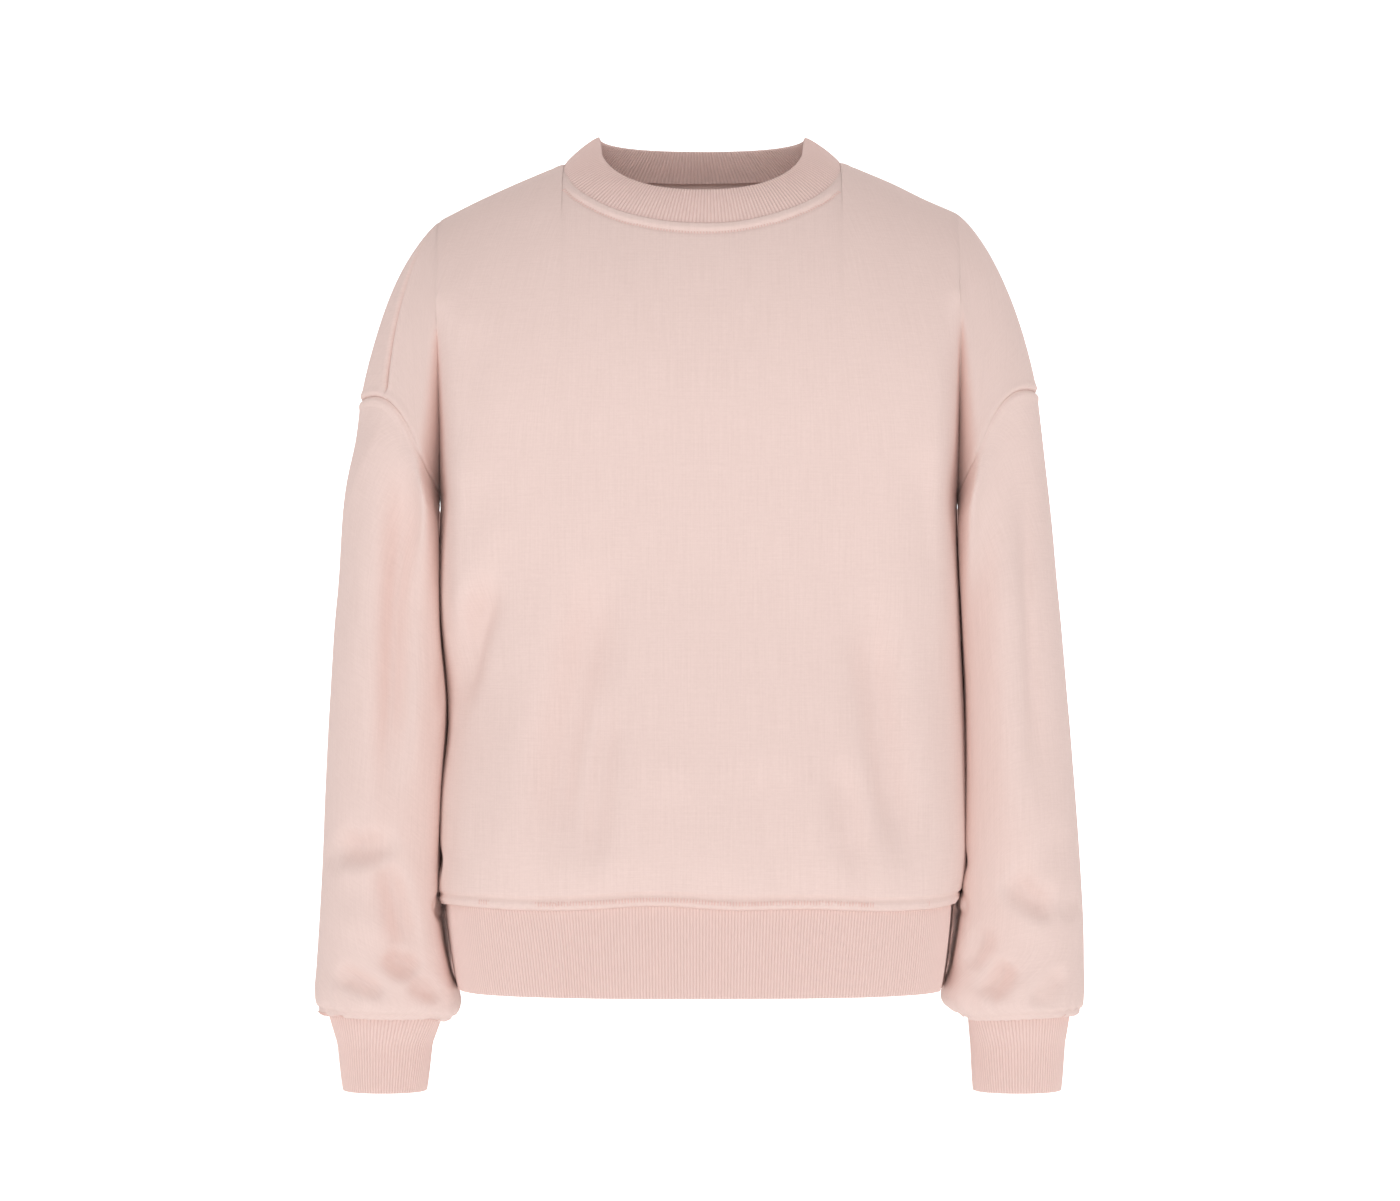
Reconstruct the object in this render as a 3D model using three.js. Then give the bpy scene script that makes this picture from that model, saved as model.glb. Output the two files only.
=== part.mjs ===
// A crewneck sweatshirt, worn by nobody and filled out, in millimetres.
// +Z is up, the front faces -Y, and the wearer's right arm is at -X.
// The origin is midway between the two points where the shoulder seams meet the collar.
import * as THREE from "three";

// Cloth
const WALL = 2.2;
const RIB_WALL = 3;
const SEAM_GAP = 0.3;

// Heights
const HEM_SEAM_Z = -541.5;
const HEM_Z = -603;
const ARMPIT_Z = -245;
const BUST_Z = -200;
const CUFF_SEAM_Z = -625;
const CUFF_Z = -679;

// Neck opening, at the seam between the panels and the collar
const NECK_HALF_WIDTH = 101;
const NECK_DROP = { front: 52, back: 10 };
const NECK_ARCH_Z = { front: -112, back: -78 };
const NECK_LIFT = { front: 0, back: 26 };

// Free edge of the collar
const COLLAR_TOP = { halfWidth: 76, sideZ: 17, frontY: -60, frontZ: -26, backY: 50, backZ: 10 };
const COLLAR_TOP_SQUARENESS = 2.3;
const COLLAR_SIDE_WEIGHT = 0.8;

// Ribs that stand on the outside of the three kinds of band
const RIB_HEIGHT = 0.9;
const HEM_RIBS = 360;
const COLLAR_RIBS = 216;
const CUFF_RIBS = 84;

// Body panels from the hem seam up: how far the cloth stands from the middle on each side
const BODY = [
  { z: -541.5, right: 189, left: 185, front: -116, back: 103 },
  { z: -530, right: 192, left: 189, front: -123, back: 110 },
  { z: -505, right: 191.5, left: 192, front: -128, back: 114 },
  { z: -460, right: 190, left: 192, front: -127, back: 112 },
  { z: -405, right: 185, left: 191, front: -123, back: 106 },
  { z: -321, right: 192, left: 188, front: -118, back: 103 },
  { z: -245, right: 191, left: 186, front: -117, back: 107 },
  { z: -200, right: 190, left: 186, front: -116, back: 108 },
];
const SIDE_SEAM_Y = 0;
const SQUARENESS = { front: 2.8, back: 2.15 };
const CHEST_EDGE_Y = { front: -89, back: 88 };

// Shoulders: the ridge line falls away from the neck and turns down over the arm
const RIDGE_Y = 4;
const RIDGE_TOP_Z = 2;
const RIDGE_START = 98;
const RIDGE_ROUNDING = 14;
const SHOULDER = {
  right: { slope: 0.5, seamFace: "front", seamShift: 0.25, armholeTop: { x: 250, z: -176 } },
  left: { slope: 0.46, seamFace: "back", seamShift: 0.06, armholeTop: { x: 246, z: -170 } },
};
const SEAM_SHIFT_START = 0.75;
const RIDGE_TURN = { outX: 22, outZ: -14, downX: -12, downZ: 64 };
const ARCH_HEIGHT = 62;
const ARM_DEPTH = { front: 74, back: 82 };
const ARMHOLE_BOW = { front: 27, back: 18 };

// The crease between the chest and the arm
const CREASE_WIDTH = 22;
const CREASE_SHARPNESS = 2.5;
const CREASE_RISE = 0.5;
const CREASE_BLEND = 5;

// Sleeves from the armhole seam down to the cuff seam; outer and inner are distances from the middle,
// and tuck is how far the back of the inner side lies in behind the body
const SLEEVE = {
  right: [
    { share: 0, outerZ: -176, innerZ: -245, outer: 250, inner: 192, front: -70, back: 86, tuck: 0 },
    { share: 0.16, outerZ: -256, innerZ: -292, outer: 258.5, inner: 196, front: -60, back: 90, tuck: 36 },
    { share: 0.32, outerZ: -330, innerZ: -345, outer: 267, inner: 196, front: -57, back: 87, tuck: 48 },
    { share: 0.46, outerZ: -396, innerZ: -400, outer: 272, inner: 192, front: -57, back: 81, tuck: 48 },
    { share: 0.62, outerZ: -467, innerZ: -467, outer: 276, inner: 195, front: -55, back: 77, tuck: 48 },
    { share: 0.8, outerZ: -545, innerZ: -545, outer: 279.5, inner: 196, front: -52, back: 73, tuck: 44 },
    { share: 0.9, outerZ: -588, innerZ: -588, outer: 282, inner: 188, front: -49, back: 71, tuck: 26 },
    { share: 0.95, outerZ: -609, innerZ: -611, outer: 283, inner: 178, front: -48, back: 70, tuck: 12 },
    { share: 0.98, outerZ: -620, innerZ: -621, outer: 280, inner: 180, front: -43, back: 65, tuck: 4 },
    { share: 1, outerZ: -625, innerZ: -625, outer: 274, inner: 190, front: -33, back: 53, tuck: 0 },
  ],
  left: [
    { share: 0, outerZ: -170, innerZ: -245, outer: 246, inner: 187, front: -70, back: 86, tuck: 0 },
    { share: 0.16, outerZ: -252, innerZ: -290, outer: 254.5, inner: 192, front: -60, back: 90, tuck: 36 },
    { share: 0.32, outerZ: -328, innerZ: -344, outer: 262.5, inner: 193, front: -57, back: 87, tuck: 48 },
    { share: 0.46, outerZ: -396, innerZ: -400, outer: 268, inner: 195.5, front: -57, back: 81, tuck: 48 },
    { share: 0.62, outerZ: -467, innerZ: -467, outer: 273, inner: 197, front: -55, back: 77, tuck: 48 },
    { share: 0.8, outerZ: -545, innerZ: -545, outer: 278, inner: 193.5, front: -52, back: 73, tuck: 44 },
    { share: 0.9, outerZ: -588, innerZ: -588, outer: 279, inner: 184, front: -49, back: 71, tuck: 26 },
    { share: 0.95, outerZ: -609, innerZ: -611, outer: 279, inner: 176, front: -48, back: 70, tuck: 12 },
    { share: 0.98, outerZ: -620, innerZ: -621, outer: 277, inner: 182, front: -43, back: 65, tuck: 4 },
    { share: 1, outerZ: -625, innerZ: -625, outer: 270, inner: 194, front: -33, back: 53, tuck: 0 },
  ],
};
const ARMHOLE_BLEND = 0.3;

// Lower end of each cuff
const CUFF_END = {
  right: { outer: 263, inner: 201, front: -21, back: 41 },
  left: { outer: 263, inner: 198, front: -21, back: 41 },
};
const CUFF_NECK = { share: 0.3, height: 0.62 };

// Half widths of the hem band's lower end
const HEM_END = { right: 179.5, left: 177 };

// Largest folds: soft troughs along a line in the front view; width and depth in millimetres
const FOLDS = [
  { face: "front", fromX: -85, fromZ: -290, toX: -108, toZ: -470, width: 22, depth: 5 },
  { face: "front", fromX: -75, fromZ: -395, toX: -82, toZ: -520, width: 14, depth: 4 },
  { face: "front", fromX: -165, fromZ: -320, toX: -184, toZ: -400, width: 16, depth: 6 },
  { face: "front", fromX: 130, fromZ: -350, toX: 150, toZ: -520, width: 20, depth: 6 },
  { face: "front", fromX: -216, fromZ: -200, toX: -228, toZ: -450, width: 14, depth: 5 },
  { face: "front", fromX: -268, fromZ: -500, toX: -212, toZ: -502, width: 10, depth: 5 },
  { face: "front", fromX: -262, fromZ: -592, toX: -226, toZ: -606, width: 8, depth: 4 },
  { face: "front", fromX: 243, fromZ: -220, toX: 246, toZ: -440, width: 14, depth: 5 },
  { face: "front", fromX: 224, fromZ: -586, toX: 206, toZ: -612, width: 9, depth: 4 },
  { face: "front", fromX: 226, fromZ: -540, toX: 262, toZ: -548, width: 10, depth: 4 },
  { face: "back", fromX: -95, fromZ: -260, toX: -70, toZ: -480, width: 24, depth: 6 },
  { face: "back", fromX: 88, fromZ: -300, toX: 112, toZ: -500, width: 22, depth: 6 },
  { face: "back", fromX: -10, fromZ: -380, toX: 18, toZ: -510, width: 20, depth: 4 },
  { face: "back", fromX: -222, fromZ: -260, toX: -236, toZ: -430, width: 16, depth: 5 },
  { face: "back", fromX: -262, fromZ: -512, toX: -212, toZ: -498, width: 10, depth: 5 },
  { face: "back", fromX: 220, fromZ: -250, toX: 238, toZ: -450, width: 16, depth: 5 },
  { face: "back", fromX: 215, fromZ: -508, toX: 262, toZ: -520, width: 10, depth: 5 },
];

// How quickly a fold fades where the cloth turns away from the face that it is on
const FOLD_FACING = 1.4;

// Rows and columns of the cloth
const TORSO_ROWS = 13;
const CREASE_ROWS = 6;
const ARCH_ROWS = 8;
const SHOULDER_COLUMNS = 7;
const NECK_COLUMNS = 8;
const SLEEVE_ROWS = 18;
const INNER_RIM = { hem: 60, collar: 54, cuff: 28 };

// How much closer together rows and columns stand towards the armpit, the neck and the armhole
const TORSO_CROWDING = 1.15;
const SHOULDER_CROWDING = 2.2;
const ARMHOLE_CROWDING = 0.8;

// Least agreement between the faces round a point that still lengthens the wall there:
// 1 is flat cloth, and at a sharper fold than this the wall grows no longer
const SMALLEST_AGREEMENT = 0.6;

const { lerp, clamp, smoothstep } = THREE.MathUtils;
const SIGN = { right: -1, left: 1, front: -1, back: 1 };
const steps = (count) => Array.from({ length: count + 1 }, (_, index) => index / count);

// Value of one column of a table at a place along it, on a smooth curve through its rows
function along(rows, key, place, column) {
  const ordered = rows[0][key] < rows[rows.length - 1][key] ? rows : [...rows].reverse();
  const at = clamp(place, ordered[0][key], ordered[ordered.length - 1][key]);
  const next = Math.max(1, ordered.findIndex((row) => row[key] >= at));
  const slope = (index) => {
    const low = ordered[Math.max(0, index - 1)];
    const high = ordered[Math.min(ordered.length - 1, index + 1)];
    return (high[column] - low[column]) / (high[key] - low[key]);
  };
  const [from, to] = [ordered[next - 1], ordered[next]];
  const span = to[key] - from[key];
  const t = (at - from[key]) / span;
  const startWeight = 2 * t ** 3 - 3 * t ** 2 + 1;
  const startSlope = (t ** 3 - 2 * t ** 2 + t) * span * slope(next - 1);
  const endSlope = (t ** 3 - t ** 2) * span * slope(next);
  return startWeight * from[column] + (1 - startWeight) * to[column] + startSlope + endSlope;
}

const halfWidth = (side, z) => along(BODY, "z", z, side);

// Height of the shoulder's ridge line at a distance from the middle
function ridgeZ(side, x) {
  const past = Math.abs(x) - RIDGE_START;
  const run = (Math.hypot(past, RIDGE_ROUNDING) + past) / 2;
  const runAtMiddle = (Math.hypot(RIDGE_START, RIDGE_ROUNDING) - RIDGE_START) / 2;
  return RIDGE_TOP_Z - SHOULDER[side].slope * (run - runAtMiddle);
}

// Height at which a panel would lie flat on top; inside the neck it is above the neckline
function crestZ(face, side, x) {
  const inNeck = Math.max(0, 1 - (x / NECK_HALF_WIDTH) ** 2);
  return ridgeZ(side, x) + NECK_LIFT[face] * inNeck;
}

// Chest or back as if it ran smoothly on to the shoulder, with no crease at the arm
function smoothY(face, side, x, z) {
  const centre = along(BODY, "z", Math.min(z, BUST_Z), face);
  const share = Math.abs(x) / halfWidth(side, z);
  const chest = lerp(centre, CHEST_EDGE_Y[face], clamp(share, 0, 1) ** 3);
  const rise = clamp((z - BUST_Z) / (crestZ(face, side, x) - BUST_Z), 0, 1);
  return RIDGE_Y + (chest - RIDGE_Y) * Math.sqrt(1 - rise ** 2);
}

// Where the shoulder's arch begins at the outer end of the shoulder
const shoulderX = (side) => BODY[BODY.length - 1][side];
const archStart = (side) => ridgeZ(side, shoulderX(side)) - ARCH_HEIGHT;
const creaseShare = (side, z) => clamp((z - ARMPIT_Z) / (archStart(side) - ARMPIT_Z), 0, 1);

// Bottom of the crease, which runs from the armpit forwards or backwards up to the shoulder
function creaseY(face, side, z) {
  const top = smoothY(face, side, shoulderX(side), archStart(side));
  return lerp(SIDE_SEAM_Y, top, creaseShare(side, z) ** CREASE_RISE);
}

const creaseNotch = (distance) => clamp(1 - distance / CREASE_WIDTH, 0, 1) ** CREASE_SHARPNESS;

// Depth of a body panel at a point of the front view
function bodyY(face, side, x, z) {
  const width = halfWidth(side, z);
  const share = clamp(Math.abs(x) / width, 0, 1);
  const centre = along(BODY, "z", z, face);
  const bulge = (1 - share ** SQUARENESS[face]) ** (1 / SQUARENESS[face]);
  const torso = lerp(creaseY(face, side, z), centre, bulge);
  const plain = smoothY(face, side, x, z);
  const edge = smoothY(face, side, width, z);
  const depth = creaseY(face, side, z) - edge;
  const creased = plain + (z < archStart(side) ? depth * creaseNotch(width - Math.abs(x)) : 0);
  return lerp(torso, creased, smoothstep(z, ARMPIT_Z - CREASE_BLEND, BUST_Z - CREASE_BLEND));
}

// Shares of the half width at which the columns stand, from the side seam in to the middle
function columnShares(side) {
  const neckShare = NECK_HALF_WIDTH / shoulderX(side);
  const shoulder = steps(SHOULDER_COLUMNS).map((t) => 1 - (1 - neckShare) * t ** SHOULDER_CROWDING);
  const neck = steps(NECK_COLUMNS / 2).slice(1);
  return [...shoulder, ...neck.map((t) => neckShare * Math.cos((t * Math.PI) / 2))];
}

// One half of a body panel, row by row from the hem seam to the neckline and shoulder seam
function bodyHalf(face, side) {
  const neckArchZ = ridgeZ(side, NECK_HALF_WIDTH) - ARCH_HEIGHT;
  return columnShares(side).map((share) => {
    const x = SIGN[side] * share * shoulderX(side);
    const inNeck = Math.abs(x) < NECK_HALF_WIDTH - 0.01;
    const ridge = ridgeZ(side, x);
    const dip = Math.sqrt(Math.max(0, 1 - (x / NECK_HALF_WIDTH) ** 2));
    const archZ = inNeck ? lerp(neckArchZ, NECK_ARCH_Z[face], dip) : ridge - ARCH_HEIGHT;
    const endZ = inNeck ? ridge - NECK_DROP[face] * dip : ridge;
    const torso = steps(TORSO_ROWS).map((t) => lerp(HEM_SEAM_Z, ARMPIT_Z, t ** TORSO_CROWDING));
    const crease = steps(CREASE_ROWS).slice(1).map((t) => lerp(ARMPIT_Z, archZ, t));
    const low = [...torso, ...crease].map((z) => {
      const at = SIGN[side] * share * halfWidth(side, Math.min(z, BUST_Z));
      return new THREE.Vector3(at, bodyY(face, side, at, z), z);
    });
    const crest = crestZ(face, side, x) - BUST_Z;
    const turn = (z) => Math.asin(clamp((z - BUST_Z) / crest, 0, 1));
    const arch = steps(ARCH_ROWS).slice(1).map((t) => {
      const z = BUST_Z + crest * Math.sin(lerp(turn(archZ), turn(endZ), t));
      return new THREE.Vector3(x, smoothY(face, side, x, z), z);
    });
    return [...low, ...arch];
  });
}

// Ridge of the arm, from the end of the shoulder down to the armhole seam
function armRidge(side, t) {
  const startX = shoulderX(side);
  const startZ = ridgeZ(side, startX);
  const end = SHOULDER[side].armholeTop;
  const curve = new THREE.CubicBezierCurve(
    new THREE.Vector2(startX, startZ),
    new THREE.Vector2(startX + RIDGE_TURN.outX, startZ + RIDGE_TURN.outZ),
    new THREE.Vector2(end.x + RIDGE_TURN.downX, end.z + RIDGE_TURN.downZ),
    new THREE.Vector2(end.x, end.z),
  );
  return curve.getPoint(t);
}

// How far round its section the arm has already turned where it leaves the crease
function archTurn(side, down) {
  const rise = (archStart(side) - BUST_Z) / (ridgeZ(side, shoulderX(side)) - BUST_Z);
  return Math.asin(rise * (1 - down));
}

// A point of the arm above the armhole seam: down is 0 at the shoulder and 1 at the armhole,
// round is -1 at the front crease, 0 on the ridge and 1 at the back crease
function armPoint(side, down, round) {
  const face = round < 0 ? "front" : "back";
  const creaseZ = lerp(archStart(side), ARMPIT_Z, down);
  const creaseX = halfWidth(side, creaseZ);
  const ridge = armRidge(side, down);
  const start = archTurn(side, down);
  const turn = lerp(Math.PI / 2, start, Math.abs(round));
  const out = (Math.sin(turn) - Math.sin(start)) / (1 - Math.sin(start));
  const atTop = smoothY(face, side, shoulderX(side), archStart(side)) - RIDGE_Y;
  const depth = lerp(atTop, SIGN[face] * ARM_DEPTH[face], down);
  const plain = RIDGE_Y + (depth * Math.cos(turn)) / Math.cos(start);
  const distance = out * Math.hypot(ridge.x - creaseX, ridge.y - creaseZ);
  const crease = creaseY(face, side, creaseZ) - (RIDGE_Y + depth);
  const bow = ARMHOLE_BOW[face] * down * Math.sin(Math.PI * out);
  return new THREE.Vector3(
    SIGN[side] * lerp(creaseX, ridge.x, out),
    plain + crease * creaseNotch(distance),
    lerp(creaseZ, ridge.y, out) + bow,
  );
}

// Where the shoulder seam runs round the arm, on the same scale as armPoint's round
function seamRound(side, down) {
  const { seamFace, seamShift } = SHOULDER[side];
  const start = archTurn(side, down);
  const out = 1 - seamShift * down ** SEAM_SHIFT_START;
  const turn = Math.asin(lerp(Math.sin(start), 1, out));
  return (SIGN[seamFace] * (Math.PI / 2 - turn)) / (Math.PI / 2 - start);
}

// Places round the arm from the crease to the shoulder seam
function roundPlaces(face, side, down) {
  const crowding = 1 + ARMHOLE_CROWDING * down;
  return steps(ARCH_ROWS).map((t) => lerp(SIGN[face], seamRound(side, down), t ** crowding));
}

const armHalf = (face, side) =>
  steps(CREASE_ROWS).map((down) =>
    roundPlaces(face, side, down).map((round) => armPoint(side, down, round)));

// One half of a sleeve, row by row from the armhole seam to the cuff seam
function sleeveHalf(face, side) {
  const rows = SLEEVE[side];
  const seam = roundPlaces(face, side, 1);
  const ring = (share, round) => {
    const at = (column) => along(rows, "share", share, column);
    const angle = Math.abs(round) * Math.PI;
    const reach = round < 0 ? at("front") : at("back");
    const middleY = (at("front") + at("back")) / 2;
    const inward = (1 - Math.cos(angle)) / 2;
    const tuck = round < 0 ? 0 : at("tuck") * inward * Math.sin(angle) ** 2;
    return new THREE.Vector3(
      SIGN[side] * (lerp(at("outer"), at("inner"), inward) - tuck),
      middleY + (reach - middleY) * Math.sin(angle),
      lerp(at("outerZ"), at("innerZ"), inward),
    );
  };
  return steps(SLEEVE_ROWS).map((share) => {
    const blend = smoothstep(share, 0, ARMHOLE_BLEND);
    return seam.map((round, index) => {
      const even = SIGN[face] * (1 - index / ARCH_ROWS);
      const point = ring(share, lerp(round, even, blend));
      const offset = armPoint(side, 1, round).sub(ring(0, round));
      return point.addScaledVector(offset, 1 - blend);
    });
  });
}

// A quad's corners, starting where its split into two triangles is the shorter one
function shortSplit(points, quad) {
  const [a, b, c, d] = quad.map((id) => points[id]);
  return a.distanceTo(c) <= b.distanceTo(d) ? quad : [...quad.slice(1), quad[0]];
}

// The whole cloth: one set of points that all panels and sleeves share, and each one's faces
function makeCloth() {
  const points = [];
  const known = new Map();
  const faces = {};
  const pointIndex = (point) => {
    const key = point.toArray().map((value) => Math.round(value * 1e3)).join();
    if (!known.has(key)) {
      known.set(key, points.length);
      points.push(point);
    }
    return known.get(key);
  };
  const add = (name, grid, flip) => {
    faces[name] ??= [];
    const ids = grid.map((row) => row.map(pointIndex));
    for (let i = 0; i + 1 < ids.length; i += 1) {
      for (let j = 0; j + 1 < ids[i].length; j += 1) {
        const quad = [ids[i][j], ids[i][j + 1], ids[i + 1][j + 1], ids[i + 1][j]];
        faces[name].push(shortSplit(points, flip ? quad.reverse() : quad));
      }
    }
    return ids;
  };
  const grids = {};
  for (const side of ["right", "left"]) {
    for (const face of ["front", "back"]) {
      const turned = SIGN[side] * SIGN[face] > 0;
      const body = add(`${face}_panel`, bodyHalf(face, side), turned);
      add(`${face}_panel`, armHalf(face, side), !turned);
      const sleeve = add(`${side}_sleeve`, sleeveHalf(face, side), !turned);
      grids[`${face} ${side}`] = { body, sleeve };
    }
  }
  return { points, faces, grids };
}

// Area-weighted direction of a face with any number of corners
function faceNormal(points, face) {
  const normal = new THREE.Vector3();
  for (let i = 1; i + 1 < face.length; i += 1) {
    const [a, b, c] = [points[face[0]], points[face[i]], points[face[i + 1]]];
    normal.add(b.clone().sub(a).cross(c.clone().sub(a)));
  }
  return normal;
}

// Outward direction at each point, lengthened where the cloth is folded sharply
function offsetDirections(points, faces) {
  const normals = points.map(() => new THREE.Vector3());
  const touching = points.map(() => []);
  for (const face of faces) {
    const normal = faceNormal(points, face);
    for (const id of face) {
      normals[id].add(normal);
      touching[id].push(normal.clone().normalize());
    }
  }
  return normals.map((normal, id) => {
    const unit = normal.normalize();
    const total = touching[id].reduce((sum, face) => sum + face.dot(unit), 0);
    const agreement = clamp(total / touching[id].length, SMALLEST_AGREEMENT, 1);
    return unit.clone().multiplyScalar(1 / agreement);
  });
}

// Presses the folds into the cloth: each is a trough round a line in the front view
function pressFolds(points, faces) {
  const normals = offsetDirections(points, faces).map((normal) => normal.normalize());
  points.forEach((point, id) => {
    const place = new THREE.Vector2(point.x, point.z);
    for (const fold of FOLDS) {
      const start = new THREE.Vector2(fold.fromX, fold.fromZ);
      const run = new THREE.Vector2(fold.toX, fold.toZ).sub(start);
      const t = clamp(place.clone().sub(start).dot(run) / run.lengthSq(), 0, 1);
      const distance = place.distanceTo(start.clone().addScaledVector(run, t));
      const facing = clamp(normals[id].y * SIGN[fold.face] * FOLD_FACING, 0, 1);
      const trough = Math.exp(-((distance / fold.width) ** 2));
      point.addScaledVector(normals[id], -fold.depth * trough * facing);
    }
  });
}

// A closed mesh from points and faces with three or more corners
function makeMesh(name, points, faces, material) {
  const corners = faces.flatMap((face) =>
    face.slice(2).flatMap((_, index) => [face[0], face[index + 1], face[index + 2]]));
  const geometry = new THREE.BufferGeometry().setFromPoints(points);
  geometry.setIndex(corners);
  geometry.computeVertexNormals();
  const mesh = new THREE.Mesh(geometry, material);
  mesh.name = name;
  return mesh;
}

// Edges that only one face has, in the direction in which that face runs along them
function openEdges(faces) {
  const edges = new Map();
  for (const face of faces) {
    face.forEach((from, index) => {
      const to = face[(index + 1) % face.length];
      if (!edges.delete(`${to} ${from}`)) {
        edges.set(`${from} ${to}`, [from, to]);
      }
    });
  }
  return [...edges.values()];
}

// One piece of cloth: its faces at full size outside, the same moved in by the wall inside,
// and its edges drawn back from the seams by half of the gap
function makePanel(name, cloth, directions, material) {
  const faces = cloth.faces[name];
  const ids = [...new Set(faces.flat())];
  const edges = openEdges(faces);
  const pull = new Map();
  for (const [from, to] of edges) {
    const run = cloth.points[to].clone().sub(cloth.points[from]);
    const inward = directions[from].clone().cross(run).normalize();
    for (const id of [from, to]) {
      pull.set(id, (pull.get(id) ?? new THREE.Vector3()).add(inward));
    }
  }
  const outer = ids.map((id) => {
    const point = cloth.points[id].clone();
    return pull.has(id) ? point.addScaledVector(pull.get(id).normalize(), SEAM_GAP / 2) : point;
  });
  const inner = ids.map((id, index) => outer[index].clone().addScaledVector(directions[id], -WALL));
  const place = new Map(ids.map((id, index) => [id, index]));
  const count = ids.length;
  const outside = faces.map((face) => face.map((id) => place.get(id)));
  const inside = outside.map((face) => face.map((index) => index + count).reverse());
  const rim = edges.map(([from, to]) => {
    const [a, b] = [place.get(from), place.get(to)];
    return from < to ? [b, a, a + count, b + count] : [a, a + count, b + count, b];
  });
  return makeMesh(name, [...outer, ...inner], [...outside, ...inside, ...rim], material);
}

// Points spread evenly along a closed line of { point, out } corners
function spread(line, count) {
  const corners = [...line, line[0]];
  const lengths = [0];
  for (let i = 1; i < corners.length; i += 1) {
    lengths.push(lengths[i - 1] + corners[i].point.distanceTo(corners[i - 1].point));
  }
  const total = lengths[lengths.length - 1];
  return Array.from({ length: count }, (_, index) => {
    const at = (index / count) * total;
    const next = lengths.findIndex((length) => length > at);
    const t = (at - lengths[next - 1]) / (lengths[next] - lengths[next - 1]);
    return {
      point: corners[next - 1].point.clone().lerp(corners[next].point, t),
      out: corners[next - 1].out.clone().lerp(corners[next].out, t).normalize(),
    };
  });
}

// A ring of rib knit: upright ribs raised on the outside, plain on the inside.
// Its lines run round it, the lowest first.
function makeBand(name, lines, ribs, innerCount, material) {
  const points = [];
  const faces = [];
  const outerCount = ribs * 2;
  const perInner = outerCount / innerCount;
  for (const line of lines) {
    spread(line, outerCount).forEach(({ point, out }, index) => {
      points.push(point.clone().addScaledVector(out, index % 2 ? -RIB_HEIGHT : 0));
    });
  }
  const innerStart = points.length;
  for (const line of lines) {
    for (const { point, out } of spread(line, innerCount)) {
      points.push(point.clone().addScaledVector(out, -RIB_WALL));
    }
  }
  const outerId = (row, index) => row * outerCount + (index % outerCount);
  const innerId = (row, index) => innerStart + row * innerCount + (index % innerCount);
  for (let row = 0; row + 1 < lines.length; row += 1) {
    for (let i = 0; i < outerCount; i += 1) {
      faces.push([outerId(row, i), outerId(row, i + 1), outerId(row + 1, i + 1), outerId(row + 1, i)]);
    }
    for (let i = 0; i < innerCount; i += 1) {
      faces.push([innerId(row, i), innerId(row + 1, i), innerId(row + 1, i + 1), innerId(row, i + 1)]);
    }
  }
  for (const row of [0, lines.length - 1]) {
    for (let i = 0; i < innerCount; i += 1) {
      const fan = [];
      for (let step = 0; step < perInner; step += 1) {
        const nearest = innerId(row, step < perInner / 2 ? i : i + 1);
        fan.push([outerId(row, i * perInner + step), nearest, outerId(row, i * perInner + step + 1)]);
      }
      fan.push([innerId(row, i), innerId(row, i + 1), outerId(row, (i + 0.5) * perInner)]);
      faces.push(...(row === 0 ? fan : fan.map((face) => face.reverse())));
    }
  }
  return makeMesh(name, points, faces, material);
}

// Corners of the line round the bottom of the body, the neck or a sleeve,
// from the wearer's right round the front to the left and back
function seamLine(cloth, directions, takeRow) {
  const { grids } = cloth;
  const rows = [
    takeRow(grids["front right"]),
    takeRow(grids["front left"]).reverse(),
    takeRow(grids["back left"]),
    takeRow(grids["back right"]).reverse(),
  ];
  const ids = rows.flatMap((row) => row.slice(0, -1));
  return ids.map((id) => ({ point: cloth.points[id].clone(), out: directions[id].clone().normalize() }));
}

const level = ({ point, out }, z) => ({
  point: new THREE.Vector3(point.x, point.y, z),
  out: out.clone().setZ(0).normalize(),
});

// The band that gathers the body in at the hem
function makeHemBand(seam, material) {
  const seamEnd = { right: halfWidth("right", HEM_SEAM_Z), left: halfWidth("left", HEM_SEAM_Z) };
  const top = seam.map((corner) => level(corner, HEM_SEAM_Z - SEAM_GAP));
  const bottom = top.map((corner) => {
    const side = corner.point.x < 0 ? "right" : "left";
    const lower = level(corner, HEM_Z);
    lower.point.x *= HEM_END[side] / seamEnd[side];
    return lower;
  });
  return makeBand("hem_band", [bottom, top], HEM_RIBS, INNER_RIM.hem, material);
}

// The ribbed neckband, which stands up and leans in from the seam
function makeCollar(seam, material) {
  const top = seam.map(({ point }) => {
    const angle = Math.atan2(point.y - RIDGE_Y, point.x * COLLAR_SIDE_WEIGHT);
    const across = Math.cos(angle);
    const forward = Math.sin(angle);
    const power = 2 / COLLAR_TOP_SQUARENESS;
    const round = (value) => Math.sign(value) * Math.abs(value) ** power;
    const endY = forward < 0 ? COLLAR_TOP.frontY : COLLAR_TOP.backY;
    const endZ = forward < 0 ? COLLAR_TOP.frontZ : COLLAR_TOP.backZ;
    return new THREE.Vector3(
      COLLAR_TOP.halfWidth * round(across),
      RIDGE_Y + (endY - RIDGE_Y) * Math.abs(round(forward)),
      lerp(COLLAR_TOP.sideZ, endZ, Math.abs(round(forward))),
    );
  });
  const lines = [0, 1].map((share) =>
    seam.map(({ point }, index) => {
      const before = seam[(index + seam.length - 1) % seam.length].point;
      const after = seam[(index + 1) % seam.length].point;
      const rise = top[index].clone().sub(point);
      const out = after.clone().sub(before).cross(rise).normalize();
      const gap = rise.clone().setLength(SEAM_GAP);
      return { point: point.clone().add(gap).addScaledVector(rise, share), out };
    }));
  return makeBand("collar", lines, COLLAR_RIBS, INNER_RIM.collar, material);
}

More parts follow.
